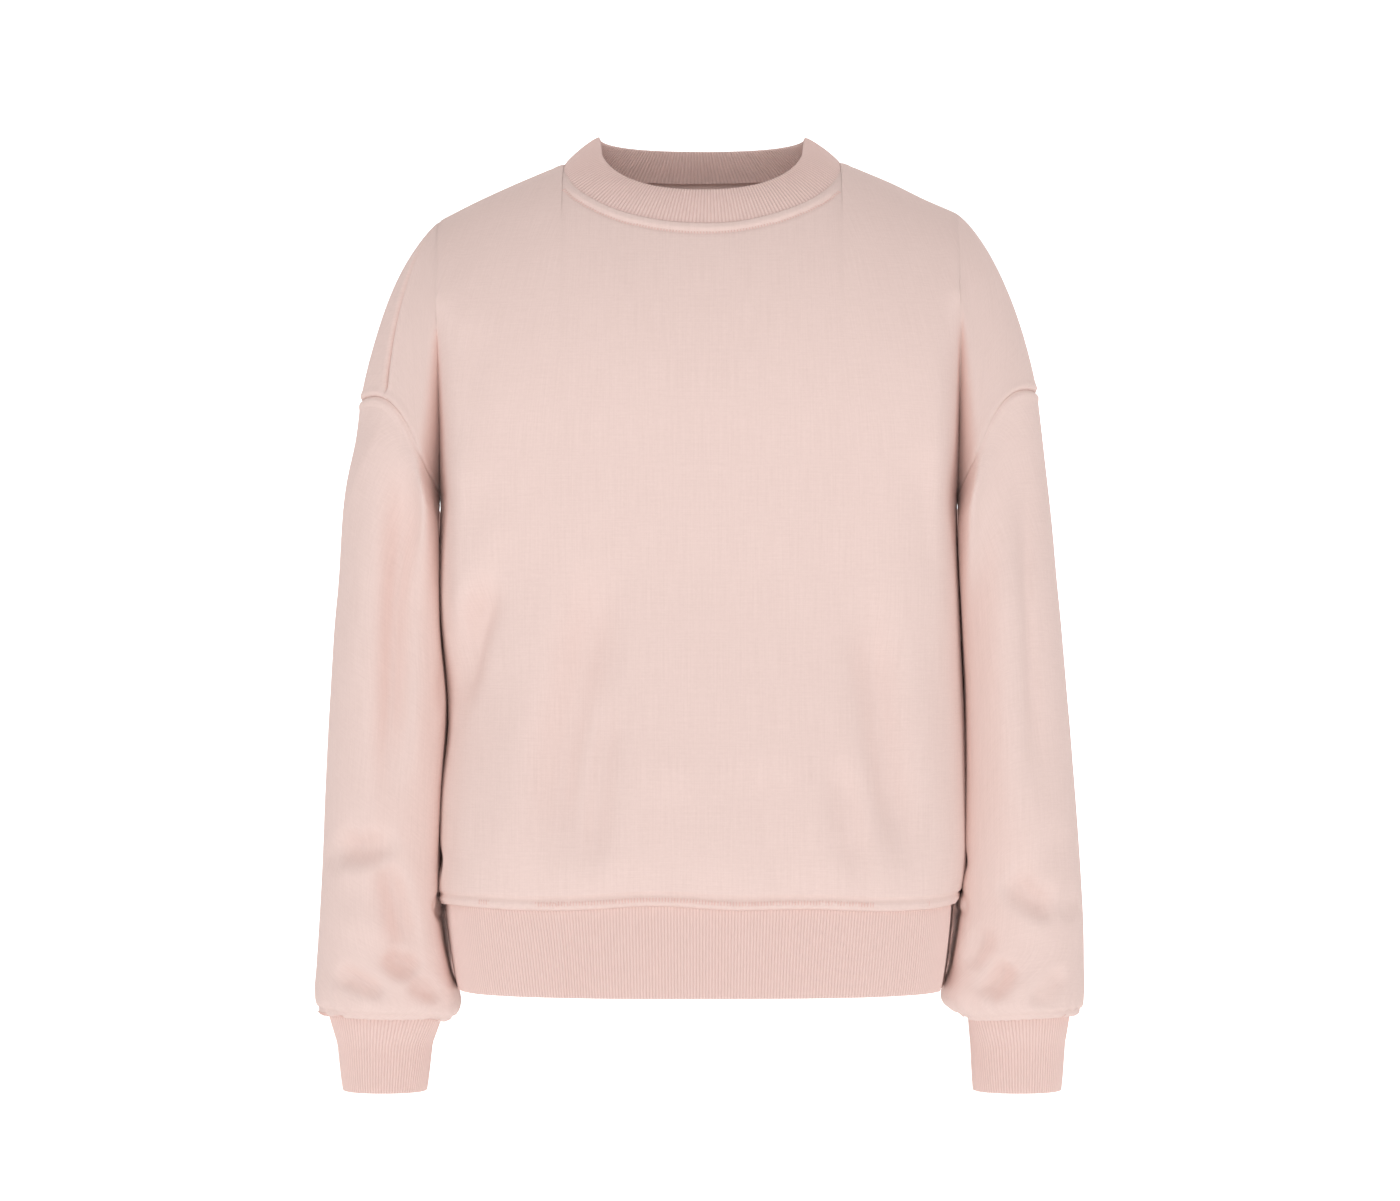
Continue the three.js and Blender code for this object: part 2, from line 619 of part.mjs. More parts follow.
// A cuff, which narrows below its seam and then runs straight down
function makeCuff(side, seam, material) {
  const end = CUFF_END[side];
  const middle = new THREE.Vector2((SIGN[side] * (end.outer + end.inner)) / 2, (end.front + end.back) / 2);
  const reach = new THREE.Vector2((end.outer - end.inner) / 2, (end.back - end.front) / 2);
  const top = seam.map((corner) => level(corner, CUFF_SEAM_Z - SEAM_GAP));
  const bottom = top.map(({ point }) => {
    const angle = Math.atan2(point.y - middle.y, point.x - middle.x);
    const out = new THREE.Vector3(Math.cos(angle), Math.sin(angle), 0);
    const x = middle.x + reach.x * out.x;
    const y = middle.y + reach.y * out.y;
    return { point: new THREE.Vector3(x, y, CUFF_Z), out };
  });
  const neck = top.map((corner, index) => ({
    point: bottom[index].point.clone().lerp(corner.point, CUFF_NECK.share)
      .setZ(lerp(CUFF_Z, CUFF_SEAM_Z, CUFF_NECK.height)),
    out: bottom[index].out.clone(),
  }));
  return makeBand(`${side}_cuff`, [bottom, neck, top], CUFF_RIBS, INNER_RIM.cuff, material);
}

const fleece = () => new THREE.MeshStandardMaterial({ color: 0xe3cdc5, roughness: 0.95, metalness: 0 });
const rib = () => new THREE.MeshStandardMaterial({ color: 0xe5cac2, roughness: 0.95, metalness: 0 });

const cloth = makeCloth();
const allFaces = Object.values(cloth.faces).flat();
pressFolds(cloth.points, allFaces);
const directions = offsetDirections(cloth.points, allFaces);

const group = new THREE.Group();
for (const name of Object.keys(cloth.faces)) {
  group.add(makePanel(name, cloth, directions, fleece()));
}
const hemSeam = seamLine(cloth, directions, ({ body }) => body.map((column) => column[0]));
group.add(makeHemBand(hemSeam, rib()));

const innerColumns = (body) => body.slice(SHOULDER_COLUMNS);
const neckSeam = seamLine(cloth, directions, ({ body }) => innerColumns(body).map((column) => column.at(-1)));
group.add(makeCollar(neckSeam, rib()));

for (const side of ["right", "left"]) {
  const rows = ["front", "back"].map((face) => cloth.grids[`${face} ${side}`].sleeve.at(-1));
  const ids = [...rows[0].slice(0, -1), ...[...rows[1]].reverse().slice(0, -1)];
  const line = (side === "right" ? ids.reverse() : ids)
    .map((id) => ({ point: cloth.points[id].clone(), out: directions[id].clone().normalize() }));
  group.add(makeCuff(side, line, rib()));
}
export default group;
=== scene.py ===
"""A crewneck sweatshirt, filled out as it is worn, dressed over its CAD solids.

Sizes are in millimetres until a mesh is made. +Z is up, the front faces -Y and
the wearer's right arm is at -X, as in the CAD part.
"""
import functools
import math

import bmesh
import bpy
import numpy as np
from bpy.props import FloatProperty, FloatVectorProperty, IntProperty, PointerProperty
from bpy.types import Operator, Panel, PropertyGroup
from mathutils import Matrix, Vector, noise
from mathutils.bvhtree import BVHTree


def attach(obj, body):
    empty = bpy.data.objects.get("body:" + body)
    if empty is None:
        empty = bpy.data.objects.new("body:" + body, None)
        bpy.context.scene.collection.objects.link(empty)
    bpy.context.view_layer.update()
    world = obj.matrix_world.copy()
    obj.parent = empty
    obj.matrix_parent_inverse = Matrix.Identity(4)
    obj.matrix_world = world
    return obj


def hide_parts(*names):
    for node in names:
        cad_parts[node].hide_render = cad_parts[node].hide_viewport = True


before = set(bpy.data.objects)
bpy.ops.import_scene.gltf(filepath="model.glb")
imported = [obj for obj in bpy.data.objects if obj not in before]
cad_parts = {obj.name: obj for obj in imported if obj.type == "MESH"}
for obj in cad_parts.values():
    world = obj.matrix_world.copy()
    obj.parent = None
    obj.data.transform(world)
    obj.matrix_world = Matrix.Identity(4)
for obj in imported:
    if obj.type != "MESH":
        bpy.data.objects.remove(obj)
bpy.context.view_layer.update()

bl_info = {
    "name": "Crewneck sweatshirt",
    "version": (1, 0, 0),
    "blender": (4, 5, 0),
    "location": "3D View > Sidebar > Sweatshirt",
    "description": "Cloth, rib knit, seams and stitching of a crewneck sweatshirt",
    "category": "Object",
}

MM = 0.001
SIGN = {"right": -1, "left": 1, "front": -1, "back": 1}

# Heights
HEM_SEAM_Z = -541.5
HEM_Z = -603
ARMPIT_Z = -245
BUST_Z = -200
CUFF_SEAM_Z = -625
CUFF_Z = -679

# Neck opening and the collar's free edge
NECK_HALF_WIDTH = 101
NECK_DROP = {"front": 52, "back": 10}
NECK_ARCH_Z = {"front": -112, "back": -78}
NECK_LIFT = {"front": 0, "back": 26}
COLLAR_TOP = {"half_width": 76, "side_z": 17, "front_y": -60, "front_z": -26, "back_y": 50, "back_z": 10}
COLLAR_TOP_SQUARENESS = 2.3
COLLAR_SIDE_WEIGHT = 0.8

# Body from the hem seam up: how far the cloth stands from the middle on each side
BODY = [
    {"z": -541.5, "right": 188, "left": 184.5, "front": -120, "back": 107},
    {"z": -530, "right": 192, "left": 189, "front": -123, "back": 110},
    {"z": -505, "right": 191.5, "left": 192, "front": -128, "back": 114},
    {"z": -460, "right": 190, "left": 192, "front": -127, "back": 112},
    {"z": -405, "right": 185, "left": 191, "front": -123, "back": 106},
    {"z": -321, "right": 192, "left": 188, "front": -118, "back": 103},
    {"z": -245, "right": 191, "left": 186, "front": -117, "back": 107},
    {"z": -200, "right": 190, "left": 186, "front": -116, "back": 108},
]
SIDE_SEAM_Y = 0
SQUARENESS = {"front": 2.8, "back": 2.15}
CHEST_EDGE_Y = {"front": -89, "back": 88}

# Shoulders
RIDGE_Y = 4
RIDGE_TOP_Z = 2
RIDGE_START = 98
RIDGE_ROUNDING = 14
SHOULDER = {
    "right": {"slope": 0.5, "seam_face": "front", "seam_shift": 0.37, "top_x": 250, "top_z": -176},
    "left": {"slope": 0.46, "seam_face": "back", "seam_shift": 0.06, "top_x": 246, "top_z": -170},
}
SEAM_SHIFT_START = 0.7
RIDGE_TURN = {"out_x": 22, "out_z": -14, "down_x": -12, "down_z": 64}
ARCH_HEIGHT = 62
ARM_DEPTH = {"front": 74, "back": 82}
ARMHOLE_BOW = {"front": 27, "back": 18}

# Crease between the chest and the arm
CREASE_WIDTH = 22
CREASE_SHARPNESS = 2.5
CREASE_RISE = 0.5
CREASE_EASE = 0.04
BUST_FADE = 150

# Sleeves from the armhole seam (share 0) to the cuff seam (share 1)
SLEEVE_COLUMNS = ("share", "outer_z", "inner_z", "outer", "inner", "front", "back", "tuck")
SLEEVE_ROWS = {
    "right": [
        (0, -176, -245, 250, 192, -70, 86, 0),
        (0.16, -256, -292, 258.5, 190.5, -60, 90, 46),
        (0.32, -330, -345, 267, 189, -57, 87, 58),
        (0.46, -396, -400, 272, 185, -57, 81, 58),
        (0.62, -467, -467, 276, 189, -55, 77, 60),
        (0.8, -545, -545, 279.5, 190.5, -52, 73, 66),
        (0.9, -588, -588, 282, 184, -49, 71, 60),
        (0.95, -609, -611, 283, 177, -48, 70, 34),
        (0.98, -620, -621, 280, 180, -43, 65, 10),
        (1, -625, -625, 274, 190, -33, 53, 0),
    ],
    "left": [
        (0, -170, -245, 246, 187, -70, 86, 0),
        (0.16, -252, -290, 254.5, 186.5, -60, 90, 46),
        (0.32, -328, -344, 262.5, 188, -57, 87, 58),
        (0.46, -396, -400, 268, 190.5, -57, 81, 58),
        (0.62, -467, -467, 273, 191, -55, 77, 60),
        (0.8, -545, -545, 278, 188.5, -52, 73, 66),
        (0.9, -588, -588, 279, 182, -49, 71, 60),
        (0.95, -609, -611, 279, 176, -48, 70, 34),
        (0.98, -620, -621, 277, 182, -43, 65, 10),
        (1, -625, -625, 270, 194, -33, 53, 0),
    ],
}
SLEEVE = {side: [dict(zip(SLEEVE_COLUMNS, row)) for row in rows] for side, rows in SLEEVE_ROWS.items()}
ARMHOLE_BLEND = 0.3
SLEEVE_FLATNESS = 0.45
# How far forward the inner edge of a sleeve lies, as a share of the way to its front, and where
# along the sleeve that starts and ends
SLEEVE_LEAN = {"share": 0.6, "full_from": 0.09, "full_to": 0.86, "ends": 0.97}
CUFF_END = {
    "right": {"outer": 263, "inner": 201, "front": -21, "back": 41},
    "left": {"outer": 263, "inner": 198, "front": -21, "back": 41},
}
CUFF_NECK = {"share": 0.3, "height": 0.62}
HEM_END = {"right": 179.5, "left": 177}

# How many rows and columns the cloth has, and how they crowd towards seams and creases
TORSO_STEPS = 104
CREASE_STEPS = 46
ARCH_STEPS = 44
SHOULDER_STEPS = 50
NECK_STEPS = 46
SLEEVE_STEPS = 190
ARMHOLE_CROWDING = 0.8
SEAM_CROWDING = 0.62
HEM_CROWDING = 0.78
NECK_SPREADING = 0.8
# Places on the cloth closer than this are one place; the offset keeps round sizes off the limit
WELD = 0.01
WELD_OFFSET = 0.137

# Folds: soft troughs (depth above 0) and ridges (below 0) along a path. Front and back paths
# are (x, z), left and right ones (y, z). skew raises the cloth on one side of the path.
FOLD_COLUMNS = ("view", "path", "width", "depth", "skew")
FOLD_ROWS = [
    # Front of the body
    ("front", [(-78, -290), (-92, -360), (-108, -440), (-104, -526)], 20, 11.5, 0.5),
    ("front", [(-68, -385), (-76, -450), (-82, -520)], 12, 7.0, 0.4),
    ("front", [(-128, -380), (-134, -450), (-130, -520)], 16, -2.6, 0.0),
    ("front", [(-152, -300), (-172, -350), (-186, -405)], 13, 10.0, 0.7),
    ("front", [(-140, -250), (-165, -300), (-180, -340)], 15, -3.0, 0.0),
    ("front", [(122, -310), (132, -380), (142, -450), (156, -524)], 18, 11.5, -0.5),
    ("front", [(100, -430), (110, -475), (116, -525)], 14, 6.0, -0.4),
    ("front", [(40, -430), (46, -480), (44, -528)], 22, 3.6, 0.0),
    ("front", [(-20, -440), (-22, -490), (-16, -530)], 20, 3.4, 0.0),
    ("front", [(150, -210), (158, -260), (165, -320)], 18, 3.4, 0.5),
    ("front", [(-150, -120), (-165, -170), (-172, -230)], 16, 3.0, -0.4),
    # Back of the body
    ("back", [(-82, -230), (-96, -330), (-88, -430), (-70, -510)], 24, 6.5, 0.4),
    ("back", [(76, -250), (92, -350), (110, -440), (112, -520)], 22, 6.0, -0.4),
    ("back", [(-20, -330), (-6, -420), (18, -515)], 20, 4.0, 0.3),
    ("back", [(-130, -400), (-142, -460), (-136, -525)], 15, 4.4, -0.4),
    ("back", [(140, -380), (150, -450), (148, -520)], 14, 4.0, 0.4),
    ("back", [(-150, -150), (-120, -190), (-70, -215)], 20, 3.6, 0.4),
    ("back", [(148, -150), (116, -196), (60, -226)], 20, 3.2, -0.4),
    # Right sleeve
    ("front", [(-219, -214), (-222, -290), (-226, -380), (-231, -470)], 12, 12.0, 0.5),
    ("front", [(-246, -250), (-252, -330), (-254, -400)], 14, -2.2, 0.0),
    ("front", [(-206, -330), (-208, -400), (-206, -460)], 11, -2.4, 0.0),
    ("front", [(-270, -496), (-250, -505), (-216, -500)], 12, 9.0, 0.8),
    ("front", [(-226, -506), (-216, -540), (-208, -582)], 10, 8.5, -0.6),
    ("front", [(-262, -540), (-240, -556), (-222, -548)], 12, -2.6, 0.0),
    ("front", [(-232, -577), (-218, -588), (-200, -586)], 9, 9.0, 0.8),
    ("front", [(-268, -592), (-248, -600), (-228, -609)], 8, 7.0, 0.6),
    ("front", [(-212, -597), (-200, -604), (-190, -611)], 8, 7.5, 0.4),
    # Left sleeve
    ("front", [(240, -210), (244, -300), (248, -390), (250, -480)], 15, 9.0, -0.5),
    ("front", [(214, -220), (216, -330), (220, -440), (224, -510)], 12, -2.6, 0.0),
    ("front", [(214, -524), (236, -540), (258, -548)], 12, 8.5, 0.8),
    ("front", [(258, -480), (244, -506), (222, -520)], 12, 3.0, 0.6),
    ("front", [(226, -584), (216, -598), (206, -612)], 10, 9.0, -0.6),
    ("front", [(264, -586), (250, -600), (236, -614)], 8, 5.0, 0.5),
    ("front", [(210, -556), (202, -575), (196, -590)], 9, 5.0, -0.5),
    # Backs of the sleeves
    ("back", [(-222, -230), (-232, -320), (-236, -420)], 15, 5.5, 0.4),
    ("back", [(-268, -516), (-240, -506), (-208, -490)], 10, 5.2, 0.8),
    ("back", [(-262, -560), (-236, -572), (-212, -560)], 11, 4.2, 0.7),
    ("back", [(-256, -592), (-238, -606), (-222, -616)], 8, 3.4, 0.4),
    ("back", [(220, -240), (232, -330), (240, -430)], 15, 5.5, -0.4),
    ("back", [(212, -500), (240, -514), (266, -524)], 10, 5.2, 0.8),
    ("back", [(206, -556), (232, -570), (260, -560)], 11, 4.2, 0.7),
    ("back", [(214, -598), (232, -606), (250, -600)], 8, 3.4, 0.4),
    # Outer sides of the sleeves
    ("right", [(50, -280), (46, -370), (40, -450)], 13, 4.4, -0.4),
    ("right", [(26, -510), (46, -518), (64, -506)], 9, 4.0, 0.8),
    ("right", [(24, -566), (44, -576), (62, -562)], 9, 3.6, 0.7),
    ("right", [(-42, -520), (-26, -512), (-10, -508)], 9, 2.4, 0.6),
    ("left", [(52, -270), (46, -360), (38, -440)], 13, 4.4, -0.4),
    ("left", [(26, -536), (46, -548), (62, -536)], 9, 4.0, 0.8),
    ("left", [(26, -584), (44, -596), (58, -586)], 8, 3.4, 0.7),
    ("left", [(-42, -550), (-26, -546), (-10, -540)], 9, 2.4, 0.6),
]
FOLDS = [dict(zip(FOLD_COLUMNS, row)) for row in FOLD_ROWS]
# Which coordinate a fold's path runs across, and which way the cloth that it marks faces
FOLD_VIEWS = {
    "front": (0, (0, -1, 0)),
    "back": (0, (0, 1, 0)),
    "right": (1, (-1, 0, 0)),
    "left": (1, (1, 0, 0)),
}
FOLD_FACING = 1.4
FOLD_PATH_STEPS = 14
FOLD_REACH = 3.2
FOLD_SKEW = 1.6
# Shares of its length over which a fold rises to its full depth
FOLD_ENDS = (-0.05, 0.32)

# Part of the shoulders beside the neck
NECK_REGION = {"half_width": 112, "from_z": -70, "probe": 0.1}

# Unevenness of hanging cloth: long soft waves and short faint ones, both longer than wide
WAVES = [
    {"across": 70, "along": 210, "height": 1.7, "seed": 11},
    {"across": 26, "along": 70, "height": 0.55, "seed": 37},
]
# Gathers of the sleeve above its cuff
CUFF_GATHERS = {
    "count": 17, "height": 1.1, "reach": 26, "start": 9, "wander": 1.3, "wander_turns": 3,
    "mean": 0.6, "change": 0.4, "change_turns": 2, "phase": 0.7,
}
# How the hem seam wanders up and down round the body
HEM_WANDER = [{"turns": 3, "height": 1.6, "phase": 0.6}, {"turns": 7, "height": 1.1, "phase": 2.1}]
HEM_WANDER_REACH = 60
HEM_WANDER_MARGIN = 6

# Seams: a ditch on the line, and beside it the cloth that stands up over its own turned edge
SEAM_PROFILES = {
    "pulled": {"ditch": 3.0, "width": 1.8, "lift": 0.8, "reach": 6.0, "pucker": 0.15, "ends": 14},
    "armhole": {"ditch": 1.6, "width": 1.6, "lift": 0.6, "reach": 5.5, "pucker": 0.12, "ends": 12},
    "quiet": {"ditch": 0.5, "width": 1.4, "lift": 0.2, "reach": 5.0, "pucker": 0.1, "ends": 12},
    "neckline": {"ditch": 1.4, "width": 1.4, "lift": 1.0, "reach": 6.8, "pucker": 0.22, "ends": 0},
    "topstitched": {"ditch": 1.8, "width": 1.3, "lift": 1.3, "reach": 6.8, "pucker": 0.22, "ends": 0},
}
SEAM_MARGIN = 14
PUCKER = {"length": 7.5, "wander": 3, "wander_length": 40}
# Where the raised edge falls off: this far inside its reach and this far beyond it
RAISED_END = {"inside": 1.5, "beyond": 2.5}
SEAM_END_START = 2
# The armhole seams sink out of sight towards the armpit, and the neckline and the shoulder seams
# are flat on top of the shoulders
SEAM_SOFTENING = {
    "armhole": {"from_x": 196, "to_x": 218, "least": 0.3},
    "neckline": {"from_x": 101, "to_x": 88, "least": 0.2},
    "pulled": {"from_x": 190, "to_x": 222, "least": 0.1},
}
# Stitches stand across the seam in a close row, sunk into the cloth beyond the raised edge
STITCH_LINE = 9.2
STITCHED_SEAMS = ("topstitched", "neckline")
STITCH_SINK = {"depth": 1.0, "width": 1.7}
NECK_STITCH_END = 92
STITCH = {"half_length": 0.0021, "half_width": 0.00048, "half_height": 0.0004}
STITCH_LIFT = 0.00005
STITCH_MISS = 0.0025

# Rib knit
RIB_STEPS = 6
RIB_COUNT = {"hem_band": 430, "collar": 216, "cuff": 96}
# Share of the ribs' height at the seam, and how far from it they reach their full height
RIB_AT_SEAM = 0.35
RIB_TAPER = 3.0
# A band is folded double: how far apart its layers are, how round its fold is and how it swells
BAND_DEPTH = 2.8
BAND_TURNS = 5
BAND_TURN_SHARE = 0.02
BAND_SWELL = {"power": 0.6, "inside": -0.3}
COLLAR_OVERLAP = 0.16

# Where the ribs of the hem band lean sideways
HEM_LEAN = [{"x": -120, "width": 34, "shift": 7.0}, {"x": 96, "width": 50, "shift": -3.0}]

# Knit: scales of the yarn's unevenness along and across it
COURSES_PER_WALE = 1.3
LOOP_RELIEF = 0.25
# How closely the painted shade gathers at the bottom of each rib groove
GROOVE_SHADE_POWER = 2.5
RIB_UNEVENNESS = 0.3
RIB_LOOP_RELIEF = 0.2
KNIT_NOISE = {
    "fuzz": ((1500, 1500, 1), 2, 0.6),
    "streak": ((45, 1100, 1), 3, 0.6),
    "upright": ((900, 25, 1), 2, 0.5),
    "mottle": ((420, 420, 1), 3, 0.65),
    "rib": ((0.9, 160, 1), 2, 0.6),
    "rib_fuzz": ((4, 1500, 1), 2, 0.6),
    "twist": ((2600, 2600, 2600), 2, 0.5),
}

# Studio, in metres
BACKDROP = {
    "floor_z": -1.15, "wall_y": 5.0, "front_y": -16.0, "half_width": 16.0, "top_z": 4.5,
    "bend": 1.0, "bend_steps": 13,
}
PAPER_GLOW = {"seen": 0.85, "cast": 0.3}
CAMERA = {"distance": 4.0, "x": -0.0015, "z": -0.3216, "view_width": 1.022, "sensor": 36.0, "far": 50}
LIGHT_TARGET = (0, 0, -0.33)
LIGHT_COLUMNS = ("name", "at", "size", "power", "colour")
LIGHT_ROWS = [
    ("front_soft", (-0.2, -3.4, 1.8), 3.2, 23, (1.0, 1.0, 1.0)),
    ("front_level", (0.0, -4.4, -0.2), 1.6, 12, (1.0, 1.0, 1.0)),
    ("left_fill", (-3.2, -1.7, -0.3), 2.6, 12, (1.0, 0.99, 0.98)),
    ("right_fill", (3.2, -1.7, -0.3), 2.6, 12, (1.0, 0.97, 0.96)),
    ("low_fill", (0.2, -3.4, -1.0), 2.0, 4, (1.0, 0.98, 0.97)),
    ("back_fill", (0.3, 2.0, 1.6), 2.6, 16, (1.0, 0.99, 0.98)),
]
AIR = {"colour": (1, 0.96, 0.95, 1), "strength": 0.45}


class SweatshirtSizes(PropertyGroup):
    """Sizes and colours that a user may want to change."""

    cloth_thickness: FloatProperty(
        name="Cloth thickness", description="Thickness of the body and sleeve cloth",
        default=0.0015, min=0.0005, max=0.004, unit="LENGTH", precision=4)
    fold_depth: FloatProperty(
        name="Fold depth", description="Share of the full depth of every fold",
        default=1.0, min=0.0, max=1.5)
    rib_height: FloatProperty(
        name="Rib height", description="How far each rib stands out of its groove",
        default=0.0008, min=0.0, max=0.002, unit="LENGTH", precision=4)
    stitch_length: FloatProperty(
        name="Stitch length", description="Distance from one stitch to the next",
        default=0.0022, min=0.002, max=0.006, unit="LENGTH", precision=4)
    knit_pitch: FloatProperty(
        name="Knit pitch", description="Width of one column of knitted loops",
        default=0.0009, min=0.0004, max=0.003, unit="LENGTH", precision=4)
    cloth_colour: FloatVectorProperty(
        name="Cloth colour", description="Colour of the body and sleeves",
        default=(0.915, 0.722, 0.668), size=3, min=0, max=1, subtype="COLOR")
    rib_colour: FloatVectorProperty(
        name="Rib colour", description="Colour of the collar, hem band and cuffs",
        default=(0.925, 0.712, 0.660), size=3, min=0, max=1, subtype="COLOR")
    thread_colour: FloatVectorProperty(
        name="Thread colour", description="Colour of the stitches",
        default=(0.89, 0.62, 0.56), size=3, min=0, max=1, subtype="COLOR")
    ribs_hem: IntProperty(
        name="Hem ribs", description="Number of ribs round the hem band",
        default=RIB_COUNT["hem_band"], min=100, max=600)
    light_strength: FloatProperty(
        name="Light strength", description="Share of the studio lights' full power",
        default=1.0, min=0.0, max=4.0)


# ---------------------------------------------------------------- shape of the cloth


def lerp(start, end, share):
    return start + (end - start) * share


def steps(count):
    return np.linspace(0, 1, count + 1)


def crowd_start(count, crowding):
    """Steps that stand closer together at the start."""
    even = steps(count)
    return even - crowding * np.sin(math.pi * even) / math.pi


def crowd_end(count):
    return 1 - crowd_start(count, SEAM_CROWDING)[::-1]


def crowd_both(count):
    even = steps(count)
    return even - SEAM_CROWDING * np.sin(2 * math.pi * even) / (2 * math.pi)


def smoothstep(value, start, end):
    share = np.clip((value - start) / (end - start), 0, 1)
    return share * share * (3 - 2 * share)


TORSO_PLACES = crowd_start(TORSO_STEPS, HEM_CROWDING)
CREASE_PLACES = crowd_start(CREASE_STEPS, SEAM_CROWDING)
ARCH_PLACES = crowd_end(ARCH_STEPS)
SLEEVE_PLACES = crowd_both(SLEEVE_STEPS)


def along(rows, key, place, column):
    """Value of one column of a table at a place along it, on a smooth curve through its rows."""
    keys = np.array([row[key] for row in rows], float)
    values = np.array([row[column] for row in rows], float)
    slopes = np.empty_like(values)
    slopes[1:-1] = (values[2:] - values[:-2]) / (keys[2:] - keys[:-2])
    slopes[0] = (values[1] - values[0]) / (keys[1] - keys[0])
    slopes[-1] = (values[-1] - values[-2]) / (keys[-1] - keys[-2])
    at = np.clip(place, keys[0], keys[-1])
    low = np.clip(np.searchsorted(keys, at) - 1, 0, len(keys) - 2)
    span = keys[low + 1] - keys[low]
    t = (at - keys[low]) / span
    start = 2 * t**3 - 3 * t**2 + 1
    bend = (t**3 - 2 * t**2 + t) * slopes[low] + (t**3 - t**2) * slopes[low + 1]
    return start * values[low] + (1 - start) * values[low + 1] + span * bend


def half_width(side, z):
    return along(BODY, "z", z, side)


def ridge_z(side, x):
    """Height of the shoulder's ridge line at a distance from the middle."""
    past = np.abs(x) - RIDGE_START
    run = (np.hypot(past, RIDGE_ROUNDING) + past) / 2
    run_at_middle = (math.hypot(RIDGE_START, RIDGE_ROUNDING) - RIDGE_START) / 2
    return RIDGE_TOP_Z - SHOULDER[side]["slope"] * (run - run_at_middle)


def crest_z(face, side, x):
    in_neck = np.maximum(0, 1 - (x / NECK_HALF_WIDTH) ** 2)
    return ridge_z(side, x) + NECK_LIFT[face] * in_neck


def smooth_y(face, side, x, z):
    """Chest or back as if it ran smoothly on to the shoulder, with no crease at the arm."""
    centre = along(BODY, "z", np.minimum(z, BUST_Z), face)
    share = np.clip(np.abs(x) / half_width(side, z), 0, 1)
    chest = lerp(centre, CHEST_EDGE_Y[face], share**3)
    rise = np.clip((z - BUST_Z) / (crest_z(face, side, x) - BUST_Z), 0, 1)
    return RIDGE_Y + (chest - RIDGE_Y) * np.sqrt(1 - rise**2)


def shoulder_x(side):
    return BODY[-1][side]


def arch_start(side):
    return ridge_z(side, shoulder_x(side)) - ARCH_HEIGHT


def crease_y(face, side, z):
    """Bottom of the crease, which runs from the armpit up to the shoulder."""
    top = smooth_y(face, side, shoulder_x(side), arch_start(side))
    share = np.clip((z - ARMPIT_Z) / (arch_start(side) - ARMPIT_Z), 0, 1)
    eased = (share + CREASE_EASE) ** CREASE_RISE - CREASE_EASE**CREASE_RISE
    full = (1 + CREASE_EASE) ** CREASE_RISE - CREASE_EASE**CREASE_RISE
    return lerp(SIDE_SEAM_Y, top, eased / full)


def crease_notch(distance):
    return np.clip(1 - distance / CREASE_WIDTH, 0, 1) ** CREASE_SHARPNESS


def body_y(face, side, x, z):
    width = half_width(side, z)
    share = np.clip(np.abs(x) / width, 0, 1)
    centre = along(BODY, "z", z, face)
    bulge = (1 - share ** SQUARENESS[face]) ** (1 / SQUARENESS[face])
    torso = lerp(crease_y(face, side, z), centre, bulge)
    depth = crease_y(face, side, z) - smooth_y(face, side, width, z)
    notch = np.where(z < arch_start(side), crease_notch(width - np.abs(x)), 0)
    creased = smooth_y(face, side, x, z) + depth * notch
    return lerp(torso, creased, smoothstep(z, ARMPIT_Z - BUST_FADE, BUST_Z))


def body_half(face, side):
    """Half a body panel: columns from the side seam in to the middle, rows from the hem up."""
    neck_share = NECK_HALF_WIDTH / shoulder_x(side)
    shoulder = 1 - (1 - neck_share) * crowd_both(SHOULDER_STEPS)
    neck = neck_share * np.cos(steps(NECK_STEPS)[1:] ** NECK_SPREADING * math.pi / 2)
    shares = np.concatenate([shoulder, neck])
    x = SIGN[side] * shares * shoulder_x(side)
    in_neck = np.abs(x) < NECK_HALF_WIDTH - WELD
    ridge = ridge_z(side, x)
    dip = np.sqrt(np.maximum(0, 1 - (x / NECK_HALF_WIDTH) ** 2))
    neck_arch = lerp(ridge_z(side, NECK_HALF_WIDTH) - ARCH_HEIGHT, NECK_ARCH_Z[face], dip)
    arch_z = np.where(in_neck, neck_arch, ridge - ARCH_HEIGHT)
    end_z = np.where(in_neck, ridge - NECK_DROP[face] * dip, ridge)
    torso = np.tile(lerp(HEM_SEAM_Z, ARMPIT_Z, TORSO_PLACES), (len(x), 1))
    crease = lerp(ARMPIT_Z, arch_z[:, None], CREASE_PLACES[1:])
    low_z = np.concatenate([torso, crease], axis=1)
    low_x = SIGN[side] * shares[:, None] * half_width(side, np.minimum(low_z, BUST_Z))
    low = np.stack([low_x, body_y(face, side, low_x, low_z), low_z], axis=2)
    crest = (crest_z(face, side, x) - BUST_Z)[:, None]
    start = np.arcsin(np.clip((arch_z[:, None] - BUST_Z) / crest, 0, 1))
    end = np.arcsin(np.clip((end_z[:, None] - BUST_Z) / crest, 0, 1))
    top_z = BUST_Z + crest * np.sin(lerp(start, end, ARCH_PLACES[1:]))
    top_x = np.broadcast_to(x[:, None], top_z.shape)
    top = np.stack([top_x, smooth_y(face, side, top_x, top_z), top_z], axis=2)
    return np.concatenate([low, top], axis=1)


